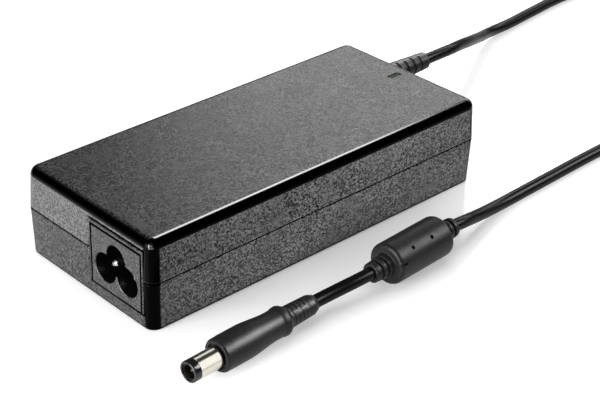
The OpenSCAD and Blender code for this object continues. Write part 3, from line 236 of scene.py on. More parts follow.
def patchGroup():
    # Slow changes over a surface, for its roughness.
    tree, given, result = newGroup("handledPatches", {"Patch Size": 0.015},
                                   {"Patch": "NodeSocketFloat"})
    place = addNode(tree, "ShaderNodeTexCoord")["Object"]
    cloud = cloudNoise(tree, place, arithmetic(tree, "DIVIDE", 1, given["Patch Size"]), patchBuild)
    tree.links.new(spread(tree, cloud, patchBuild["low"], patchBuild["high"], 0, 1), result["Patch"])
    return tree


grainTree = grainGroup()
patchTree = patchGroup()
shaderInputs = {"metallic": ("Metallic", 0), "specular": ("Specular IOR Level", 0.5),
                "clear": ("Transmission Weight", 0), "coat": ("Coat Weight", 0)}


def makeFinish(name, look):
    made = bpy.data.materials.new(name)
    made.use_nodes = True
    tree = made.node_tree
    shader = tree.nodes["Principled BSDF"]
    for key, (label, usual) in shaderInputs.items():
        shader.inputs[label].default_value = look.get(key, usual)
    grain = addNode(tree, "ShaderNodeGroup", {
        "Grain Size": look["grain"] * mm, "Contrast": look.get("contrast", 0.5),
        "Relief": look.get("relief", 0.3), "Depth": look.get("depth", 0.02) * mm,
        "Stretch": look.get("stretch", 1)}, node_tree=grainTree)
    patch = addNode(tree, "ShaderNodeGroup", node_tree=patchTree)["Patch"]
    colour = blendColour(tree, grain["Speckle"], (*look["dark"], 1), (*look["light"], 1))
    rough = spread(tree, patch, 0, 1, *look["rough"])
    if "polished" in look:  # black where the marked attribute is 1: painted shade and a painted dark reflection; brighter where the highlight attribute is 1: a painted highlight
        polish = addNode(tree, "ShaderNodeAttribute", attribute_name="polish")["Fac"]
        tree.links.new(polish, grain["Normal"].node.inputs["Smoothed"])
        # Dark pits mirror less of the light. The case's smooth edges and its seams mirror none of it,
        # so they stay black: a painted dark reflection on the edges and painted shade in the seams.
        pits = spread(tree, grain["Speckle"], 0, 1, look["pits"], 0)
        edge = polish if "shine" in look else 0.0
        tree.links.new(blend(tree, polish, pits, edge), shader.inputs["Metallic"])
        colour = blendColour(tree, polish, colour, (*look["polished"], 1))
        # On the case, a band along the top edges and a spot on the upper corners take a brighter mirror
        # colour, so that the edge lamps show there alone: a painted highlight.
        if "shine" in look:
            shine = addNode(tree, "ShaderNodeAttribute", attribute_name="shine")["Fac"]
            colour = blendColour(tree, shine, colour, (*look["shine"], 1))
        rough = blend(tree, polish, rough, look["polishedRough"])
    tree.links.new(colour, shader.inputs["Base Color"])
    tree.links.new(rough, shader.inputs["Roughness"])
    tree.links.new(grain["Normal"], shader.inputs["Normal"])
    return made


def grey(value):
    return (value, value, value * 1.02)


def skin(dark, light, rough, grain, **more):
    # Two tones, the range of the roughness, and the size of the grain in millimetres.
    return {"dark": dark, "light": light, "rough": rough, "grain": grain, **more}


finishes = {
    # The case's near-black edge colour is a painted dark reflection and painted shade in the seams, and
    # its brighter band colour is a painted highlight; the inlet's near-black is partly painted shade in
    # its socket and groove.
    "case_plastic": skin(grey(0.008), grey(0.068), (0.24, 0.3), 0.5, contrast=0.8, relief=0.7,
                         depth=0.05, specular=0.45, pits=0.6, polished=grey(0.002),
                         polishedRough=0.16, shine=grey(0.12)),
    "inlet_plastic": skin(grey(0.01), grey(0.08), (0.3, 0.36), 0.4, contrast=0.8, relief=0.6,
                          depth=0.04, specular=0.45, pits=0.5, polished=grey(0.003),
                          polishedRough=0.24),
    "window_plastic": skin((0.002, 0.022, 0.003), (0.008, 0.085, 0.011), (0.25, 0.32), 1.4,
                           relief=0.1, specular=0.04),
    "lamp_plastic": skin((0.3, 0.7, 0.3), (0.45, 0.85, 0.45), (0.1, 0.2), 0.8, clear=0.4),
    "pin_metal": skin((0.6, 0.6, 0.58), (0.8, 0.8, 0.77), (0.2, 0.3), 0.2, metallic=1, stretch=8),
    "brown_insulation": skin((0.2, 0.11, 0.06), (0.26, 0.15, 0.08), (0.35, 0.45), 0.8),
    "green_insulation": skin((0.2, 0.42, 0.08), (0.5, 0.6, 0.08), (0.35, 0.45), 1.6, contrast=0.95),
    "board_laminate": skin((0.42, 0.3, 0.11), (0.52, 0.4, 0.17), (0.4, 0.55), 0.5, stretch=4),
    "solder": skin((0.6, 0.61, 0.63), (0.8, 0.8, 0.82), (0.2, 0.4), 0.7, metallic=1),
    "fuse_plastic": skin((0.16, 0.06, 0.03), (0.22, 0.09, 0.05), (0.3, 0.4), 0.6),
    "blue_coating": skin((0.03, 0.13, 0.4), (0.05, 0.18, 0.5), (0.25, 0.4), 1.2),
    "ferrite": skin(grey(0.02), grey(0.05), (0.45, 0.65), 0.35, relief=0.5),
    "copper_wire": skin((0.5, 0.18, 0.06), (0.75, 0.33, 0.14), (0.2, 0.35), 0.5, metallic=1, coat=0.4),
    "yellow_plastic": skin((0.6, 0.4, 0.02), (0.7, 0.5, 0.04), (0.35, 0.45), 0.7),
    "black_epoxy": skin(grey(0.012), grey(0.03), (0.4, 0.5), 0.3),
    "sleeve_blue": skin((0.01, 0.015, 0.07), (0.02, 0.03, 0.11), (0.15, 0.25), 1.5),
    "sink_metal": skin((0.6, 0.61, 0.63), (0.78, 0.79, 0.81), (0.3, 0.45), 0.25, metallic=1,
                       stretch=20),
    "bobbin_plastic": skin(grey(0.015), grey(0.03), (0.35, 0.5), 0.5),
    "winding_tape": skin((0.62, 0.5, 0.1), (0.75, 0.62, 0.16), (0.25, 0.35), 2),
    "white_plastic": skin((0.7, 0.7, 0.66), (0.8, 0.8, 0.77), (0.35, 0.45), 0.5),
    "powder_core": skin((0.5, 0.42, 0.05), (0.62, 0.55, 0.08), (0.4, 0.55), 0.3),
    "film": skin((0.68, 0.68, 0.6), (0.76, 0.76, 0.7), (0.2, 0.3), 2),
    "cord_rubber": skin(grey(0.002), grey(0.005), (0.24, 0.3), 0.35, relief=0.25, depth=0.01,
                        specular=0.12),
    "moulded_rubber": skin(grey(0.004), grey(0.018), (0.34, 0.42), 0.34, contrast=0.8, relief=0.6,
                           depth=0.04, specular=0.22),
    "tie_strap": skin(grey(0.008), grey(0.03), (0.6, 0.75), 0.45, contrast=0.8, relief=0.8, depth=0.08),
    "tip_plastic": skin(grey(0.006), grey(0.01), (0.14, 0.2), 0.5, relief=0.1),
    "barrel_metal": skin((0.66, 0.62, 0.54), (0.76, 0.73, 0.65), (0.15, 0.19), 0.12, metallic=1,
                         stretch=12, relief=0.02, depth=0.001),
    # The inner contact is dark, so that the inside of the plug's tip looks black: painted shade.
    "contact_metal": skin((0.12, 0.11, 0.09), (0.2, 0.18, 0.14), (0.3, 0.4), 0.3, metallic=1),
}
materials = {slot: makeFinish(slot, look) for slot, look in finishes.items()}
print("materials made:", len(materials))


def meshObject(name, verts, faces):
    mesh = bpy.data.meshes.new(name)
    mesh.from_pydata([Vector(v) * mm for v in verts], [], faces)
    shape = bmesh.new()
    shape.from_mesh(mesh)
    bmesh.ops.recalc_face_normals(shape, faces=shape.faces)
    shape.to_mesh(mesh)
    shape.free()
    obj = bpy.data.objects.new(name, mesh)
    scene.collection.objects.link(obj)
    return obj


def bake(obj):
    graph = bpy.context.evaluated_depsgraph_get()
    baked = bpy.data.meshes.new_from_object(obj.evaluated_get(graph))
    obj.modifiers.clear()
    obj.data = baked


def loft(name, rings, closed=False):
    # Rings of equally many points become one solid. It is capped unless it closes on itself.
    count = len(rings[0])
    verts = [point for ring in rings for point in ring]
    faces = []
    for i in range(len(rings) if closed else len(rings) - 1):
        near, far = i * count, (i + 1) % len(rings) * count
        for k in range(count):
            n = (k + 1) % count
            faces.append((near + k, near + n, far + n, far + k))
    if not closed:
        faces.append(tuple(range(count)))
        faces.append(tuple(range(len(verts) - count, len(verts))))
    return meshObject(name, verts, faces)


def turned(name, outline, place=Matrix(), sides=72, closed=True):
    # The outline gives distances along the X axis and from it.
    angles = [2 * math.pi * k / sides for k in range(sides)]
    rings = [[place @ Vector((x, r * math.cos(a), r * math.sin(a))) for a in angles]
             for x, r in outline]
    return loft(name, rings, closed)


def soften(outline, steps=4, share=0.48):
    # Rounds the corners of a closed outline, each by the third number given with its point.
    done = []
    for i, (x, y, radius) in enumerate(outline):
        here = Vector((x, y))
        back = Vector(outline[i - 1][:2]) - here
        ahead = Vector(outline[(i + 1) % len(outline)][:2]) - here
        if radius == 0:
            done.append((x, y))
            continue
        reach = radius / math.tan(back.angle(ahead) / 2)
        reach = min(reach, share * back.length, share * ahead.length)
        first, last = here + back.normalized() * reach, here + ahead.normalized() * reach
        for k in range(steps + 1):
            t = k / steps
            point = first * (1 - t) ** 2 + here * 2 * t * (1 - t) + last * t * t
            done.append((point.x, point.y))
    return done


def arcPoints(centre, radius, start, end, steps):
    angles = [start + (end - start) * k / steps for k in range(steps + 1)]
    return [centre + radius * Vector((math.cos(a), math.sin(a))) for a in angles]


def roundedRing(halfLength, halfWidth, radius, z, steps=12, support=0.4):
    # Rounded rectangle, with a point beside each tangent that keeps the flat sides flat.
    ring = []
    for quarter in range(4):
        start, end = quarter * math.pi / 2, (quarter + 1) * math.pi / 2
        centre = Vector(((halfLength - radius) * (1, -1, -1, 1)[quarter],
                         (halfWidth - radius) * (1, 1, -1, -1)[quarter]))
        points = arcPoints(centre, radius, start, end, steps)
        points.insert(0, points[0] - support * Vector((-math.sin(start), math.cos(start))))
        points.append(points[-1] + support * Vector((-math.sin(end), math.cos(end))))
        ring += [(point.x, point.y, z) for point in points]
    return ring


def smallRing(half, grow, corner, z, place, steps=4, support=0.1):
    # The same about a place, with few points round its small corners.
    ring = roundedRing(half[0] + grow, half[1] + grow, corner, z, steps, support)
    return [(place[0] + x, place[1] + y, z) for x, y, z in ring]


def boxSolid(name, low, high):
    corners = [(x, y, z) for x in (low[0], high[0]) for y in (low[1], high[1])
               for z in (low[2], high[2])]
    return meshObject(name, corners, [(0, 1, 3, 2), (4, 5, 7, 6), (0, 1, 5, 4), (2, 3, 7, 6),
                                      (0, 2, 6, 4), (1, 3, 7, 5)])


def cut(obj, cutters, operation="DIFFERENCE"):
    for cutter in cutters:
        step = obj.modifiers.new(cutter.name, "BOOLEAN")
        step.operation = operation
        step.solver = "EXACT"
        step.object = cutter
    bake(obj)
    for cutter in cutters:
        bpy.data.objects.remove(cutter)


def smoothShape(obj, sharpAngle=38):
    for face in obj.data.polygons:
        face.use_smooth = True
    obj.data.set_sharp_from_angle(angle=math.radians(sharpAngle))
    step = obj.modifiers.new("weights", "WEIGHTED_NORMAL")
    step.keep_sharp = True
    bake(obj)


def fit(obj, slot, *replaced):
    # Gives a finished piece its material, hangs it on the root body and hides the nodes that it
    # replaces.
    obj.data.materials.clear()
    obj.data.materials.append(materials[slot])
    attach(obj, "root")
    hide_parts(*replaced)


case = {
    "halfLength": 67.5, "halfWidth": 30, "height": 29.7, "parting": 15.8, "partingGap": 0.35,
    "wall": 2, "cornerRadius": 3.5, "topRound": 2.8, "bottomRound": 0.8, "topDraft": 0.45,
    "bottomDraft": 0.4, "lipIn": 1.1, "tongue": 1.6, "fit": 0.1, "edgeBreak": 0.2,
    "roundSteps": 14, "support": 0.5, "lastCorner": 0.3, "shineFrom": 3, "shineTo": 24,
    "glintSpotTurns": (50, 82), "cornerReach": 13, "fadeFrom": 5, "fadeTo": 34,
    "ribPlaces": (-27, 11, 58.5), "ribWidth": 2.5, "ribReach": 3, "ribRoot": 0.2,
    "boardLow": 6, "boardTop": 7.6, "cutIn": 4, "cutOut": 2,
    "inletMiddle": (-14, 15.4), "inletHalf": (12.55, 10.55), "flare": 0.3, "lowFlare": 2.2,
    "reliefAt": (21, 15.8), "neckRadius": 3.85,
    "windowAt": (59.5, 0), "windowHalf": (2.35, 1.05), "windowCorner": 0.3, "windowFlare": 0.12,
    "seamLean": 0.3, "openingDepth": 4.5, "openingSteep": 0.97, "openingTurn": -0.5,
}
inletRib = {"from": -63.8, "to": -62.3, "low": 1.8, "high": 5.5, "aside": 8.3, "half": 1.5}
upperEdge = case["parting"] + case["partingGap"]
topStart = case["height"] - case["topRound"]
topLean = math.atan2(case["topDraft"], topStart - upperEdge)
bottomLean = math.atan2(case["bottomDraft"], case["parting"] - case["bottomRound"])


def wallInset(z):
    # How far the drafted wall stands in from its widest place, at the parting line.
    if z >= upperEdge:
        return case["topDraft"] * (z - upperEdge) / (topStart - upperEdge)
    if z <= case["parting"]:
        return case["bottomDraft"] * (case["parting"] - z) / (case["parting"] - case["bottomRound"])
    return 0


def caseRing(inset, z, radius=None):
    return roundedRing(case["halfLength"] - inset, case["halfWidth"] - inset,
                       case["cornerRadius"] - inset if radius is None else radius, z)


def wallRings(heights):
    return [caseRing(wallInset(z), z, case["cornerRadius"]) for z in heights]


def roundRings(draft, rim, z, lean, side):
    # Rings over a rounded edge, from the wall to the flat top or bottom.
    rings = []
    for k in range(case["roundSteps"] + 1):
        angle = lean + (math.pi / 2 - lean) * k / case["roundSteps"]
        inset = rim * (1 - math.cos(angle))
        rings.append(caseRing(draft + inset, z + side * rim * math.sin(angle),
                              case["cornerRadius"] - inset))
    last = draft + rim + case["support"]
    rings.append(caseRing(last, z + side * rim, case["cornerRadius"] - rim - case["lastCorner"]))
    return rings


def upperShape():
    wall, support = case["wall"], case["support"]
    ceiling, step = case["height"] - wall, case["parting"] + case["tongue"] + case["fit"]
    lip = case["lipIn"] - case["fit"]
    rings = [caseRing(wall, ceiling), caseRing(wall, step), caseRing(lip, step),
             caseRing(lip, upperEdge), caseRing(case["edgeBreak"], upperEdge)]
    rings += wallRings([upperEdge + case["edgeBreak"], upperEdge + support, topStart - support,
                        topStart])
    rings += roundRings(case["topDraft"], case["topRound"], topStart, topLean, 1)
    return loft("upperShell", rings)


def lowerShape():
    wall, support, parting = case["wall"], case["support"], case["parting"]
    tongueTop, low = parting + case["tongue"], case["bottomRound"]
    rings = [caseRing(wall, wall), caseRing(wall, tongueTop), caseRing(case["lipIn"], tongueTop),
             caseRing(case["lipIn"], parting), caseRing(case["edgeBreak"], parting)]
    rings += wallRings([parting - case["edgeBreak"], parting - support, low + support])
    rings += roundRings(case["bottomDraft"], low, low, bottomLean, -1)
    return loft("lowerShell", rings)


def boardRibs(z0, z1, root):
    ribs = []
    for x in case["ribPlaces"]:
        for side in (-1, 1):
            outer = side * (case["halfWidth"] - case["wall"] + root)
            inner = side * (case["halfWidth"] - case["wall"] - case["ribReach"])
            ribs.append(boxSolid("boardRib", (x - case["ribWidth"] / 2, min(outer, inner), z0),
                                 (x + case["ribWidth"] / 2, max(outer, inner), z1)))
    return ribs


def inletCutter():
    # Opening in the end wall. Its outer edge is eased, and follows the drafted wall.
    middleY, middleZ = case["inletMiddle"]
    halfY, halfZ = case["inletHalf"]
    flare = case["flare"]
    heights = (middleZ - halfZ, case["parting"], upperEdge, middleZ + halfZ)
    corners = [(1, z) for z in heights] + [(-1, z) for z in reversed(heights)]
    rings = []
    for depth, grow in ((case["cutIn"], 0), (flare, 0), (0, flare), (-case["cutOut"], flare)):
        ring = []
        for side, z in corners:
            wall = -case["halfLength"] + wallInset(z)
            out = grow * (1 if z == heights[3] else -case["lowFlare"] if z == heights[0] else 0)
            ring.append((wall + depth, middleY + side * (halfY + grow), z + out))
        rings.append(ring)
    return loft("inletOpening", rings)


def reliefCutter():
    y, z = case["reliefAt"]
    r, end, flare = case["neckRadius"], case["halfLength"], case["flare"]
    outline = [(end - case["cutIn"], r), (end - flare, r), (end, r + flare),
               (end + case["cutOut"], r + flare)]
    return turned("reliefOpening", outline, Matrix.Translation((0, y, z)), sides=48, closed=False)


def windowCutter():
    top, flare = case["height"], case["windowFlare"]
    heights = ((top - case["cutIn"], 0), (top - flare, 0), (top, flare), (top + past, flare))
    return loft("windowOpening", [smallRing(case["windowHalf"], grow, case["windowCorner"] + grow, z,
                                            case["windowAt"]) for z, grow in heights])


def edgeMarks(point):
    # The rounded edges and the upright corners are smooth and black and mirror almost nothing: a
    # painted dark reflection. Along the long sides, a band beside the flat top and a spot on each upper
    # corner carry a painted highlight. At both ends the black fades into the grain.
    x, y, z = [abs(v) / mm for v in point]
    inset, radius = wallInset(z), case["cornerRadius"]
    cornerX, cornerY = case["halfLength"] - inset - radius, case["halfWidth"] - inset - radius
    away = math.hypot(max(0, x - cornerX), max(0, y - cornerY))
    corner = min(x - cornerX, y - cornerY) > tiny and away > radius - case["edgeBreak"] - slack
    flatX, flatY = [half - case["topDraft"] - case["topRound"] + slack
                    for half in (case["halfLength"], case["halfWidth"])]
    top = z > topStart + tiny
    turn = math.degrees(math.acos(max(0, min(1, (z - topStart) / case["topRound"]))))
    if z < case["bottomRound"] + tiny and away > radius - case["bottomRound"]:
        return 1.0, 0.0
    # The band beside the flat top and the spot on the corner are the painted highlight.
    if top and y > flatY:
        low, high = case["glintSpotTurns"]
        aside = abs(math.degrees(math.atan2(y - cornerY, x - cornerX)) - 45)
        spot = aside < case["cornerReach"] and low < turn < high
        return 1.0, 1.0 if spot or case["shineFrom"] < turn < case["shineTo"] else 0.0
    if top and x > flatX:
        fade = (turn - case["fadeFrom"]) / (case["fadeTo"] - case["fadeFrom"])
        return max(0.0, min(1.0, fade)), 0.0
    return 1.0 if corner else 0.0, 0.0


def addMarks(obj, **marks):
    for name, values in marks.items():
        layer = obj.data.attributes.new(name, "FLOAT", "CORNER")
        layer.data.foreach_set("value", values)


def inSeam(face, isUpper):
    # The parting gap, with the eased edge of the upper shell, and the sides of the inlet's opening,
    # which are painted black: painted shade.
    x, y, z = face.center / mm
    leaning = abs(face.normal.z) > case["seamLean"]
    if isUpper and (z < upperEdge + tiny or z < upperEdge + case["edgeBreak"] and leaning):
        return True
    if not isUpper and z > case["parting"] - tiny:
        return True
    middleY, middleZ = case["inletMiddle"]
    near = [abs(v) < half + 2 * case["flare"]
            for v, half in zip((y - middleY, z - middleZ), case["inletHalf"])]
    steep = abs(face.normal.x) < case["openingSteep"] and face.normal.y > case["openingTurn"]
    return x < case["openingDepth"] - case["halfLength"] and all(near) and steep


def markPolishShadeAndHighlight(obj, isUpper):
    polish, shine = [], []
    for face in obj.data.polygons:
        # Faces in the seams are painted full black as painted shade; the rest take the edge marks.
        dark = inSeam(face, isUpper)
        for vert in face.vertices:
            marks = (1.0, 0.0) if dark else edgeMarks(obj.data.vertices[vert].co)
            polish.append(marks[0])
            shine.append(marks[1])
    addMarks(obj, polish=polish, shine=shine)


upper, lower = upperShape(), lowerShape()
tongueLine, root = case["parting"] + case["tongue"] + case["fit"], case["ribRoot"]
cut(upper, boardRibs(tongueLine, case["height"] - case["wall"] + root, root), "UNION")
cut(upper, boardRibs(case["boardTop"] + case["fit"], tongueLine + root, -case["fit"]), "UNION")
inletRibs = []
for side in (-1, 1):
    ribY = case["inletMiddle"][0] + side * inletRib["aside"]
    inletRibs.append(boxSolid("inletRib", (inletRib["from"], ribY - inletRib["half"], inletRib["low"]),
                              (inletRib["to"], ribY + inletRib["half"], inletRib["high"])))
cut(lower, boardRibs(case["wall"] - root, case["boardLow"], root) + inletRibs, "UNION")
cut(upper, [inletCutter(), reliefCutter(), windowCutter()])
cut(lower, [inletCutter(), reliefCutter()])
for shell, node in ((upper, "upper_shell"), (lower, "lower_shell")):
    smoothShape(shell, sharpAngle=50)
    markPolishShadeAndHighlight(shell, shell == upper)
    fit(shell, "case_plastic", node)
print("case shells made")

inlet = {
    "face": -case["halfLength"], "middle": case["inletMiddle"], "rimHalf": (12.3, 10.3),
    "flangeLip": 1.1, "flange": 1.6, "bodyInset": 0.5, "depth": 20, "edge": 0.2, "corner": 0.35,
    "grooveOuter": 11.75, "grooveInner": 11.1, "grooveTop": 24.75, "faceTop": 24.1,
    "grooveDepth": 0.9, "grooveFlare": 0.1, "grooveLow": 3, "pinHeight": 12.3, "pinHalf": 5,
    "earthRise": 5.1, "lobe": 4.7, "earthLobe": 4.3, "foot": 0.6, "cusp": 0.12,
    "socketDepth": 14, "floorEase": 0.35, "mouthRound": 0.45, "mouthSteps": 6, "arcSteps": 26,
    "steep": 0.5, "grooveSteep": 0.9,
}


def cloverOutline(grow):
    # Right half of the three-lobed outline, from the foot up to the top, then its mirror image.
    lobe, earth = inlet["lobe"] + grow, inlet["earthLobe"] + grow
    reach = min(math.sqrt(lobe ** 2 - (inlet["foot"] + grow) ** 2),
                inlet["pinHalf"] - inlet["cusp"])
    centre, top = Vector((inlet["pinHalf"], 0)), Vector((0, inlet["earthRise"]))
    apart = (top - centre).length
    along = (lobe ** 2 - earth ** 2 + apart ** 2) / (2 * apart)
    side = math.sqrt(lobe ** 2 - along ** 2)
    toTop = (top - centre) / apart
    meet = centre + toTop * along + Vector((toTop.y, -toTop.x)) * side
    end = math.atan2(meet.y - centre.y, meet.x - centre.x)
    points = arcPoints(centre, lobe, -math.acos(-reach / lobe), end, inlet["arcSteps"])
    start = math.atan2(meet.y - top.y, meet.x)
    points += arcPoints(top, earth, start, math.pi / 2, inlet["arcSteps"] // 2)[1:]
    return points + [Vector((-p.x, p.y)) for p in reversed(points[:-1])]


def cloverCutter():
    face, r, steps = inlet["face"], inlet["mouthRound"], inlet["mouthSteps"]
    deep, ease = inlet["socketDepth"], inlet["floorEase"]
    stations = [(deep, -ease), (deep - ease, 0)]
    for k in range(steps, -1, -1):
        angle = math.pi / 2 * k / steps
        stations.append((r * (1 - math.cos(angle)), r * (1 - math.sin(angle))))
    stations.append((-past, r))
    y, z = inlet["middle"][0], inlet["pinHeight"]
    return loft("cloverSocket", [[(face + depth, y + p.x, z + p.y) for p in cloverOutline(grow)]
                                 for depth, grow in stations])


def grooveCutter():
    # A groove round three sides of the face, open at the bottom.
    low, middle, flare, rings = inlet["grooveLow"], inlet["middle"][0], inlet["grooveFlare"], []
    for depth, grow in ((inlet["grooveDepth"], 0), (flare, 0), (0, flare), (-past, flare)):
        outer, inner = inlet["grooveOuter"] + grow, inlet["grooveInner"] - grow
        top, inTop = inlet["grooveTop"] + grow, inlet["faceTop"] - grow
        outline = [(-outer, low), (-inner, low), (-inner, inTop), (inner, inTop), (inner, low),
                   (outer, low), (outer, top), (-outer, top)]
        rings.append([(inlet["face"] + depth, middle + y, z) for y, z in outline])
    return loft("faceGroove", rings)


def inletShape():
    face = inlet["face"]
    wall = face + case["wall"]
    flange = wall + inlet["flange"]
    stations = [(face + inlet["depth"], -inlet["bodyInset"]), (flange, -inlet["bodyInset"]),
                (flange, inlet["flangeLip"]), (wall, inlet["flangeLip"]), (wall, 0),
                (face + inlet["edge"], 0), (face, -inlet["edge"])]
    rings = []
    for x, grow in stations:
        ring = smallRing(inlet["rimHalf"], grow, inlet["corner"], x, inlet["middle"])
        rings.append([(x, y, z) for y, z, x in ring])
    return loft("inletHousing", rings)


def markSocketPolishAndShade(obj):
    # The sides and the floors of the socket and the groove are smooth and near-black: smooth walls,
    # with painted shade in these recesses.
    values = []
    reach = inlet["grooveInner"] - inlet["grooveFlare"] - slack
    outside = inlet["grooveOuter"] + inlet["grooveFlare"] + slack
    for face in obj.data.polygons:
        x, y, z = face.center / mm
        deep = x - inlet["face"] > inlet["grooveDepth"] - slack
        away = max(abs(y - inlet["middle"][0]), z - inlet["faceTop"] + inlet["grooveInner"])
        steep = abs(face.normal.x) < inlet["grooveSteep" if reach < away < outside else "steep"]
        values += [1.0 if deep or steep else 0.0] * len(face.vertices)
    addMarks(obj, polish=values)


housing = inletShape()
cut(housing, [cloverCutter(), grooveCutter()])
smoothShape(housing, sharpAngle=40)
markSocketPolishAndShade(housing)
fit(housing, "inlet_plastic", "ac_inlet_housing")
print("mains inlet made")

window = {"at": case["windowAt"], "half": (2.3, 1), "corner": 0.3, "lip": 1, "flangeLow": 26.9,
          "flangeTop": 27.7, "top": 29.4, "edge": 0.18, "edgeStep": 0.3}


def windowShape():
    edge, lip, step = window["edge"], window["lip"], window["edge"] * window["edgeStep"]
    stations = [(window["flangeLow"], lip), (window["flangeTop"], lip), (window["flangeTop"], 0),
                (window["top"] - edge, 0), (window["top"] - step, -step), (window["top"], -edge)]
    return loft("indicatorWindow", [smallRing(window["half"], grow, window["corner"], z, window["at"])
                                    for z, grow in stations])


pane = windowShape()
smoothShape(pane, sharpAngle=50)
fit(pane, "window_plastic", "indicator_window")
print("indicator window made")

relief = {
    "outline": ((63.5, 2.05, 0), (63.5, 6, 0.3), (65.5, 6, 0), (65.5, 3.8, 0), (67.5, 3.8, 0),
                (67.5, 4.4, 0.35), (98, 3.05, 0.6), (98, 2.05, 0.1)),
    "firstSlot": 72.25,
    "slots": {"Count": 7, "Pitch": 3.5, "Radius": 4.1, "Taper": 0.155, "Depth": 0.85, "Width": 1.1,
              "Flare": 0.3, "Arc": 150.0, "Web Turn": -6.0, "Swing": 4.0},
}
slotDetail = {"arcPoints": 40, "profilePoints": 28, "profileRound": 0.2, "narrower": 0.1}


def slotTree(sizes):
    # Cutters for the half slots of a cord guard. Their webs swing to and fro from slot to slot.
    tree = bpy.data.node_groups.new("guardSlots", "GeometryNodeTree")
    for label, value in sizes.items():
        kind = "NodeSocketInt" if label == "Count" else "NodeSocketFloat"
        tree.interface.new_socket(label, in_out="INPUT", socket_type=kind).default_value = value
    tree.interface.new_socket("Finish", in_out="INPUT", socket_type="NodeSocketMaterial")
    tree.interface.new_socket("Cutters", in_out="OUTPUT", socket_type="NodeSocketGeometry")
    given = tree.nodes.new("NodeGroupInput").outputs
    result = tree.nodes.new("NodeGroupOutput").inputs

    def combine(x=0.0, y=0.0, z=0.0):
        return addNode(tree, "ShaderNodeCombineXYZ", {0: x, 1: y, 2: z})[0]

    turn = math.pi / 180
    arc = arithmetic(tree, "MULTIPLY", given["Arc"], turn)
    start = arithmetic(tree, "SUBTRACT", math.pi / 2, arithmetic(tree, "MULTIPLY", arc, 0.5))
    ring = addNode(tree, "GeometryNodeCurveArc", {
        "Resolution": slotDetail["arcPoints"], "Radius": given["Radius"], "Start Angle": start,
        "Sweep Angle": arc})[0]
    profile = addNode(tree, "GeometryNodeCurvePrimitiveQuadrilateral", {
        "Height": arithmetic(tree, "MULTIPLY", given["Depth"], 2),
        "Bottom Width": arithmetic(tree, "SUBTRACT", given["Width"], slotDetail["narrower"]),
        "Top Width": arithmetic(tree, "ADD", given["Width"], given["Flare"])},
        mode="TRAPEZOID")[0]
    profile = addNode(tree, "GeometryNodeFilletCurve",
                      {"Curve": profile, "Radius": slotDetail["profileRound"]})[0]
    profile = addNode(tree, "GeometryNodeResampleCurve",
                      {"Curve": profile, "Count": slotDetail["profilePoints"]})[0]
    half = addNode(tree, "GeometryNodeCurveToMesh",
                   {"Curve": ring, "Profile Curve": profile, "Fill Caps": True})[0]
    half = addNode(tree, "GeometryNodeTransform",
                   {"Geometry": half, "Rotation": (0, math.pi / 2, 0)})[0]
    other = addNode(tree, "GeometryNodeTransform",
                    {"Geometry": half, "Rotation": (math.pi, 0, 0)})[0]
    pair = addNode(tree, "GeometryNodeJoinGeometry")
    for piece in (half, other):
        tree.links.new(piece, pair[0].node.inputs[0])
    line = addNode(tree, "GeometryNodeMeshLine",
                   {"Count": given["Count"], "Offset": combine(given["Pitch"])})[0]
    index = addNode(tree, "GeometryNodeInputIndex")[0]
    odd = arithmetic(tree, "MODULO", index, 2)
    swap = arithmetic(tree, "SUBTRACT", 1, arithmetic(tree, "MULTIPLY", odd, 2))
    swing = arithmetic(tree, "MULTIPLY", swap, given["Swing"])
    angle = arithmetic(tree, "MULTIPLY", arithmetic(tree, "ADD", given["Web Turn"], swing), turn)
    rotation = addNode(tree, "FunctionNodeEulerToRotation", {0: combine(angle)})[0]
    slim = arithmetic(tree, "MULTIPLY", index, given["Taper"])
    slim = arithmetic(tree, "SUBTRACT", 1, arithmetic(tree, "DIVIDE", slim, given["Radius"]))
    placed = addNode(tree, "GeometryNodeInstanceOnPoints", {
        "Points": line, "Instance": pair[0], "Rotation": rotation,
        "Scale": combine(1, slim, slim)})[0]
    solid = addNode(tree, "GeometryNodeRealizeInstances", {0: placed})[0]
    solid = addNode(tree, "GeometryNodeSetMaterial",
                    {"Geometry": solid, "Material": given["Finish"]})[0]
    tree.links.new(solid, result["Cutters"])
    return tree


guardSlots = slotTree(relief["slots"])


def slotCutters(settings, place):
    obj = meshObject("guardSlots", [], [])
    step = obj.modifiers.new("slots", "NODES")
    step.node_group = guardSlots
    for item in guardSlots.interface.items_tree:
        if item.in_out == "INPUT" and item.name in settings:
            step[item.identifier] = settings[item.name]
        elif item.name == "Finish":
            step[item.identifier] = materials["moulded_rubber"]
    bake(obj)
    obj.data.transform(Matrix.Scale(mm, 4) @ place)
    return obj


def reliefShape():
    place = Matrix.Translation((0, *case["reliefAt"]))
    obj = turned("cordGuard", soften(relief["outline"], steps=5), place)
    cut(obj, [slotCutters(relief["slots"], place @ Matrix.Translation((relief["firstSlot"], 0, 0)))])
    return obj


guard = reliefShape()
smoothShape(guard)
fit(guard, "moulded_rubber", "dc_strain_relief")
print("cord guard made")

ferrite = {
    "ends": ((-6, -54.5, 6.5), (32, -52.5, 6.5)), "half": 12, "radius": 6.5, "round": 2.1,
    "collar": 6.8, "collarBase": 3.7, "collarTip": 3.05, "grooves": (1.8, 4), "grooveWidth": 0.9,
    "grooveDepth": 0.7, "bore": 2.05, "cavity": 5.15, "cavityHalf": 9.55,
    "baseRound": 0.25, "grooveRound": 0.25, "lipRound": 0.3, "tipRound": 0.5, "boreRound": 0.1,
    "marks": (-5.05, 3.45), "markAngle": 41,
    "markOutline": ((-1.2, 0.36), (-1.1, 0.54), (-0.9, 0.6), (-0.1, 0.6), (0.3, 0.9)),
    "notchAngle": 70, "notchEnd": -9.4, "notchWidth": 0.7, "notchDepth": 0.8,
}


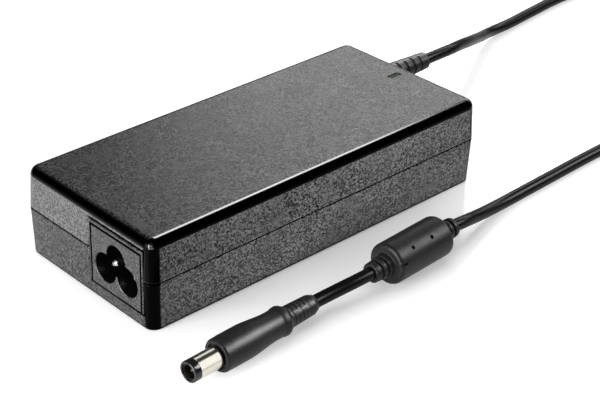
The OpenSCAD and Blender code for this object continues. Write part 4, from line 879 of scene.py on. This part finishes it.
def cordPlace(middle, ends):
    # A place with its X axis along the cord, between the two ends of a straight run.
    run = Vector(ends[1]) - Vector(ends[0])
    return Matrix.Translation(middle) @ Matrix.Rotation(math.atan2(run.y, run.x), 4, "Z")


ferriteEnds = [Vector(end) for end in ferrite["ends"]]
ferritePlace = cordPlace((ferriteEnds[0] + ferriteEnds[1]) / 2, ferriteEnds)


def collarOutline():
    # One end of the moulding, from its round edge out to the collar's tip.
    slope = (ferrite["collarBase"] - ferrite["collarTip"]) / ferrite["collar"]

    def radius(x):
        return ferrite["collarBase"] - slope * x

    half, lip, floor = ferrite["half"], ferrite["lipRound"], ferrite["grooveRound"]
    points = [(half, ferrite["radius"], ferrite["round"]),
              (half, ferrite["collarBase"], ferrite["baseRound"])]
    for x in ferrite["grooves"]:
        low, end = radius(x) - ferrite["grooveDepth"], x + ferrite["grooveWidth"]
        points += [(half + x, radius(x), lip), (half + x, low, floor), (half + end, low, floor),
                   (half + end, radius(end), lip)]
    return points + [(half + ferrite["collar"], ferrite["collarTip"], ferrite["tipRound"]),
                     (half + ferrite["collar"], ferrite["bore"], ferrite["boreRound"])]


def ferriteShape():
    right = collarOutline()
    left = [(-x, r, round) for x, r, round in reversed(right)]
    half, inner, bore = ferrite["cavityHalf"], ferrite["cavity"], ferrite["bore"]
    cavity = [(half, bore, 0), (half, inner, 0), (-half, inner, 0), (-half, bore, 0)]
    obj = turned("ferriteMoulding", soften(left + right + cavity, steps=5), ferritePlace, sides=96)
    top, side = ferrite["radius"], ferrite["notchWidth"] / 2
    outline = [(top + x, r) for x, r in ferrite["markOutline"]]
    lean = Matrix.Rotation(math.radians(ferrite["markAngle"]), 4, "X")
    lean = lean @ Matrix.Rotation(-math.pi / 2, 4, "Y")
    cutters = [turned("locatingMark", outline, ferritePlace @ Matrix.Translation((x, 0, 0)) @ lean,
                      sides=24, closed=False) for x in ferrite["marks"]]
    notch = boxSolid("gateNotch", (-ferrite["half"] - past, -side, top - ferrite["notchDepth"]),
                     (ferrite["notchEnd"], side, top + past))
    lean = ferritePlace @ Matrix.Rotation(math.radians(ferrite["notchAngle"]), 4, "X")
    notch.data.transform(Matrix.Scale(mm, 4) @ lean @ Matrix.Scale(1 / mm, 4))
    cut(obj, cutters + [notch])
    return obj


moulding = ferriteShape()
smoothShape(moulding)
fit(moulding, "moulded_rubber", "ferrite_cover")
print("ferrite moulding made")

plug = {
    "ends": ((-50, -54, 5.1), (-26, -53, 5.1)), "front": 15,
    "noseOutline": ((0, 3.8, 0.12), (0, 4.6, 0.3), (0.6, 5, 0.3), (4, 5.1, 1.5)),
    "widest": 5.1, "waist": 4.25, "wideAt": 9, "waistAt": 21, "waistSteps": 12,
    "tailOutline": ((22.5, 4.25, 0.6), (23.5, 4.5, 0.6), (24.5, 4.6, 0.6), (25, 4.4, 0.8),
                    (26.2, 3.7, 0.3), (26.4, 3.4, 0.2), (36, 3.1, 0.6), (37.6, 2.5, 0.3)),
    "boreOutline": ((37.6, 2.05, 0), (15, 2.05, 0), (15, 2.95, 0), (5.55, 2.95, 0), (5.55, 3.1, 0),
                    (0.9, 3.1, 0), (0.9, 3.8, 0)),
    "barrelOutline": ((-8.1, 2.95, 0), (-8.1, 3.25, 0.08), (-0.4, 3.25, 0.1), (-0.4, 3.05, 0),
                      (5.5, 3.05, 0), (5.5, 2.95, 0)),
    "tipOutline": ((-10.4, 2.5, 0.15), (-10.4, 3.25, 0.5), (-8.1, 3.25, 0.08), (-8.1, 2.9, 0),
                   (3.5, 2.9, 0), (3.5, 2.5, 0)),
    "firstSlot": 27,
    "slots": {"Count": 5, "Pitch": 1.55, "Radius": 3.4, "Taper": 0.04, "Depth": 0.7, "Width": 0.8,
              "Flare": 0.15, "Arc": 150.0, "Web Turn": 0.0, "Swing": -48.0},
}
plugPlace = cordPlace(plug["ends"][0], plug["ends"]) @ Matrix.Translation((-plug["front"], 0, 0))


def gripShape():
    waist, points, steps = plug["waist"], list(plug["noseOutline"]), plug["waistSteps"]
    for i in range(steps + 1):
        x = plug["wideAt"] + (plug["waistAt"] - plug["wideAt"]) * i / steps
        share = (1 + math.cos(math.pi * i / steps)) / 2
        points.append((x, waist + (plug["widest"] - waist) * share, 0))
    points += plug["tailOutline"] + plug["boreOutline"]
    obj = turned("plugGrip", soften(points, steps=5), plugPlace, sides=80)
    cut(obj, [slotCutters(plug["slots"], plugPlace @ Matrix.Translation((plug["firstSlot"], 0, 0)))])
    return obj


grip = gripShape()
barrel = turned("plugBarrel", soften(plug["barrelOutline"]), plugPlace, sides=96)
tip = turned("plugTip", soften(plug["tipOutline"], steps=5), plugPlace, sides=96)
for piece, slot, node in ((grip, "moulded_rubber", "plug_grip"),
                          (barrel, "barrel_metal", "plug_barrel"),
                          (tip, "tip_plastic", "plug_tip_insulator")):
    smoothShape(piece)
    fit(piece, slot, node)
print("plug made")

cordPiece.data.materials.append(materials["cord_rubber"])
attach(cordPiece, "root")
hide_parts("cord_exit_run", "cord_coil", "cord_plug_run")
carried = [guard, moulding, grip, barrel, tip]
carried += [nodes[name] for name in ("cord_tie", "ferrite_core", "plug_core", "plug_inner_contact",
                                     "plug_centre_pin")]

# The solids that stay as they are take the material of their slot.
for entry in frame["record"]["subparts"]:
    node, material = nodes[entry["node"]], materials[entry["material_slot"]]
    if not node.material_slots:
        node.data.materials.append(material)
    for holder in node.material_slots:
        holder.material = material
print("inner parts finished")

# Band panels are mirrored in the moulded pieces of the cord, and most in the grip.
band = dict(toward=(0.65, -0.487, 0.581), distance=1.1, size=(0.45, 0.6), lights=False)
studio = {
    "worldGrey": 0.06, "floorRadius": 4, "floorSides": 128, "floorDrop": 0.00005,
    "floorColour": 0.86, "floorRough": 0.14,
    "nearGlow": (0.22, 0.56), "nearFrom": (0.05, 0.085),  # beside the adapter and a little away; the glow grows away from the adapter, painted light that washes out shadows and mirror images there
    "farGlow": (0, 0.6), "farFrom": (0.3, 1),
    "glossShare": 0.65,  # how much of the floor's glow is mirrored
    "panels": {
        "skyPanel": dict(toward=(0.05, 0.3, 0.95), along=(1, 0, 0), distance=1.3, size=(1.6, 1.6),
                         power=11.5, mirrored=False),
        "endPanel": dict(toward=(-0.97, -0.03, 0.22), distance=1.3, size=(0.6, 0.9), power=30),
        "sheenPanel": dict(toward=(0.813, 0.379, 0.4415), distance=1.5, size=(0.28, 1.43), power=5,
                           lights=False),
        "edgeStrip": dict(toward=(0.517, 0.285, 0.807), along=(0, -0.515, 0.2), distance=1.206,
                          size=(0.42, 0.5), power=4.6, lights=False, on=(upper, lower, guard)),
        "frontPanel": dict(toward=(0.4, -0.8, 0.45), distance=1.1, size=(0.6, 0.6), power=2.4,
                           mirrored=False),
        "sidePanel": dict(toward=(0.06, -0.92, 0.35), distance=0.135, size=(0.06, 0.06),
                          power=0.29, mirrored=False, on=(upper, lower)),
        "endReflector": dict(toward=(-0.096, 0.025, 0.001), facing=(0, 0, -1), along=(1, 0, 0),
                             distance=0.0992, size=(0.05, 0.12), power=0.026, lights=False,
                             on=(upper,)),
        "cornerGlint": dict(toward=(-0.749, -0.602, 0.272), distance=1.2, size=(0.14, 0.14),
                            power=0.55, lights=False, on=(upper,)),
        "bandPanel": dict(band, power=11, on=(moulding, guard, tip, cordPiece)),
        "gripPanel": dict(band, power=27, on=(grip,)),
        "guardPanel": dict(toward=(0.67, 0.415, 0.615), along=(0, -0.83, 0.56), distance=1.2,
                           size=(0.8, 0.8), power=10, lights=False, on=(guard,)),
        "barrelBack": dict(toward=(0.532, 0.681, 0.502), along=(0, -0.593, 0.805), distance=1.2,
                           size=(1, 0.8), power=2.6, lights=False, on=(barrel,)),
        "barrelFront": dict(toward=(0.532, -0.676, 0.51), along=(0, -0.602, -0.799), distance=1.2,
                            size=(1.5, 0.8), power=4.9, lights=False, on=(barrel,)),
    },
}


def addPanel(name, toward, distance, size, power, along=(0, 0, 1), facing=None, lights=True,
             mirrored=True, on=()):
    data = bpy.data.lights.new(name, "AREA")
    data.shape = "RECTANGLE"
    data.size, data.size_y = size
    data.energy = power
    away = Vector(toward).normalized()
    back = Vector(facing or away)
    across = back.cross(Vector(along)).normalized()
    light = bpy.data.objects.new(name, data)
    light.matrix_world = Matrix.Translation(away * distance) @ Matrix(
        (across.cross(back), across, back)).transposed().to_4x4()
    light.visible_diffuse = lights
    light.visible_glossy = mirrored
    light.visible_camera = False
    scene.collection.objects.link(light)
    if on:  # the light falls on these pieces alone
        lit = bpy.data.collections.new(name + "Pieces")
        for piece in on:
            lit.objects.link(piece)
        light.light_linking.receiver_collection = lit


def addFloor():
    sides, radius = studio["floorSides"], studio["floorRadius"] / mm
    angles = [2 * math.pi * k / sides for k in range(sides)]
    low = -studio["floorDrop"] / mm
    ring = [(radius * math.cos(a), radius * math.sin(a), low) for a in angles]
    floor = meshObject("studioFloor", ring, [tuple(range(sides))])
    made = bpy.data.materials.new("studioFloor")
    made.use_nodes = True
    tree = made.node_tree
    shader = tree.nodes["Principled BSDF"]
    shader.inputs["Base Color"].default_value = (*[studio["floorColour"]] * 3, 1)
    shader.inputs["Roughness"].default_value = studio["floorRough"]
    shader.inputs["Emission Color"].default_value = (1, 1, 1, 1)
    path = addNode(tree, "ShaderNodeLightPath")
    mirrored = arithmetic(tree, "MULTIPLY", path["Is Glossy Ray"], studio["glossShare"])
    seen = arithmetic(tree, "MAXIMUM", path["Is Camera Ray"],
                      arithmetic(tree, "MAXIMUM", mirrored, path["Is Transmission Ray"]))
    # The glow grows with the distance from the adapter: painted light that washes out the shadows and
    # mirror images away from it, while the shadow beside the adapter stays.
    place = addNode(tree, "ShaderNodeTexCoord")["Object"]
    away = addNode(tree, "ShaderNodeVectorMath", {0: place}, operation="LENGTH")["Value"]
    glow = arithmetic(tree, "ADD", spread(tree, away, *studio["nearFrom"], *studio["nearGlow"]),
                      spread(tree, away, *studio["farFrom"], *studio["farGlow"]))
    tree.links.new(arithmetic(tree, "MULTIPLY", seen, glow), shader.inputs["Emission Strength"])
    floor.data.materials.append(made)


def addWorld():
    # Dim for the light it sheds and white where the camera looks past the floor.
    world = bpy.data.worlds.new("studioWorld")
    world.use_nodes = True
    tree = world.node_tree
    seen = addNode(tree, "ShaderNodeLightPath")["Is Camera Ray"]
    shade = tree.nodes["Background"].inputs
    shade[0].default_value = (1, 1, 1, 1)
    tree.links.new(arithmetic(tree, "MAXIMUM", seen, studio["worldGrey"]), shade[1])
    scene.world = world


addWorld()
addFloor()
for panelName, panel in studio["panels"].items():
    addPanel(panelName, **panel)
scene.view_settings.view_transform = "Standard"
print("studio set")
